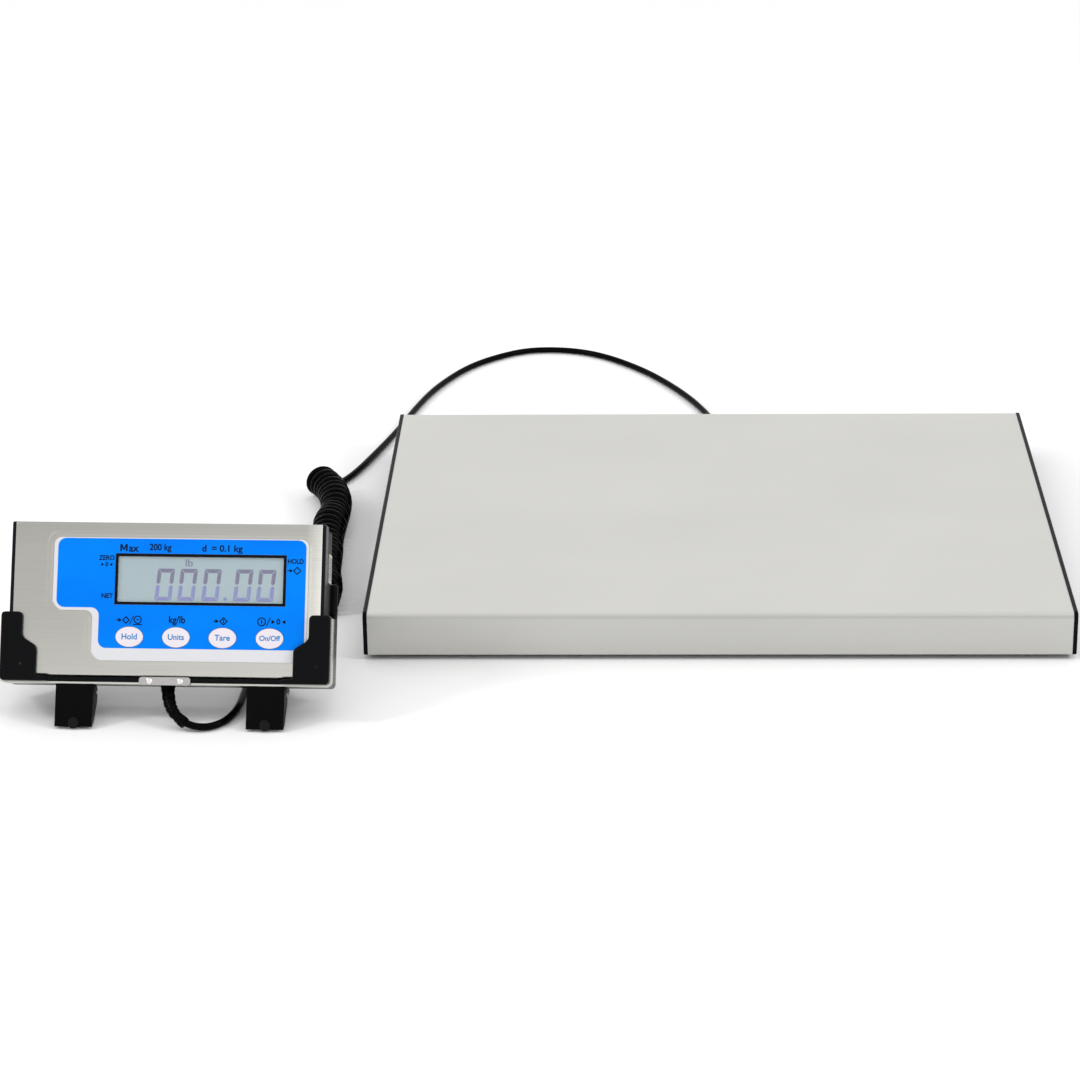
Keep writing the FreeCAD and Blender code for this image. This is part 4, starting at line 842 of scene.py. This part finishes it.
def with_dimples(points):
    """Sinks the clips' front faces in two round dimples: the depth is a smooth step across the
    dimple's edge, from nothing outside it to the full depth inside."""
    across, behind, up = points.T
    sunk = np.zeros(len(points))
    for middle_across, middle_up in dimple_places:
        inward = dimple_radius - np.hypot(across - middle_across, up - middle_up)
        share = np.clip(inward / dimple_wall + 0.5, 0, 1)
        sunk = np.maximum(sunk, dimple_depth * share ** 2 * (3 - 2 * share))
    return np.column_stack([across, behind + np.where(behind < clip_front, sunk, 0), up])


def rounded_moulding(node, name):
    """A CAD part laid square to the grid, rebuilt as an even skin of small squares, and smoothed by
    passes that move each point half way to its neighbours' middle, which rounds the edges by about
    a square. Then it is leaned back and turned into its place."""
    axes = on_housing(np.eye(3) * 1000) - housing_at
    mesh = merged_copy(node, name + "_level")
    moved(mesh, lambda points: (points - housing_at) @ axes.T)
    level = set_out(name + "_level", mesh)
    skin = level.modifiers.new("skin", "REMESH")
    skin.mode = "VOXEL"
    skin.voxel_size = moulding_square
    soften = level.modifiers.new("soften", "SMOOTH")
    soften.factor = moulding_softness
    soften.iterations = moulding_passes
    shaped = bpy.data.meshes.new_from_object(level.evaluated_get(bpy.context.evaluated_depsgraph_get()))
    shaped.name = name
    bpy.data.objects.remove(level)
    moved(shaped, lambda points: with_dimples(points) @ axes + housing_at)
    shaped.shade_smooth()
    return set_out(name, shaped)


cradle_plastic = moulded("cradle_plastic", (0.0014, 0.0016, 0.0022), 0.25, 0.09, grain=0.0009)
cradle_moulding = rounded_moulding("cradle", "cradle_moulding")
cradle_moulding.data.materials.append(cradle_plastic)
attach(cradle_moulding, "base")
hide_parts("cradle")
strap_steel = brushed("strap_steel", (0.66, 0.66, 0.62), 0.3, (0.08, 0.0008, 0.0006), housing_turn)
dress(strap_steel, "cradle_strap")

# ---- Legs ----
# Two folded steel legs in black paint that swing on pins under the cradle, with rubber buttons in
# their ends.
leg_edge = 0.0004
leg_paint, leg_paint_shader = finish("leg_paint", (0.0012, 0.0012, 0.0013), 0.3, specular=0.05)
relief(leg_paint, leg_paint_shader, noise_on(leg_paint, (0.0012, 0.0012, 0.0012)), 0.00005, 0.5)
between(leg_paint, noise_on(leg_paint, (0.03, 0.03, 0.03)), 0.36, 0.50,
        leg_paint_shader.inputs["Roughness"])


def folded_leg(node, name, body):
    """A copy of a CAD leg in black paint whose sharp edges are rounded by the edge width."""
    mesh = merged_copy(node, name)
    mesh.materials.append(leg_paint)
    mesh.shade_smooth()
    piece = set_out(name, mesh)
    rounding = piece.modifiers.new("rounding", "BEVEL")
    rounding.width = leg_edge
    rounding.segments = 3
    rounding.limit_method = "ANGLE"
    rounding.angle_limit = np.radians(35.0)
    rounding.harden_normals = True
    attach(piece, body)
    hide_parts(node)


folded_leg("leg_left", "leg_left_sheet", "left_leg")
folded_leg("leg_right", "leg_right_sheet", "right_leg")

# ---- Gland plate ----
# A bright plate over the bush that the lead comes out of, held to the front of the cradle's tray by
# two nickel screws.
bright_plate = brushed("bright_plate", (0.50, 0.48, 0.48), 0.22, (0.006, 0.0006, 0.0006), housing_turn,
                       contrast=0.15)
dress(bright_plate, "gland_plate")
screw_nickel = brushed("screw_nickel", (0.86, 0.82, 0.82), 0.14, (0.002, 0.002, 0.0006), housing_turn)
dress(screw_nickel, "gland_plate_screws")
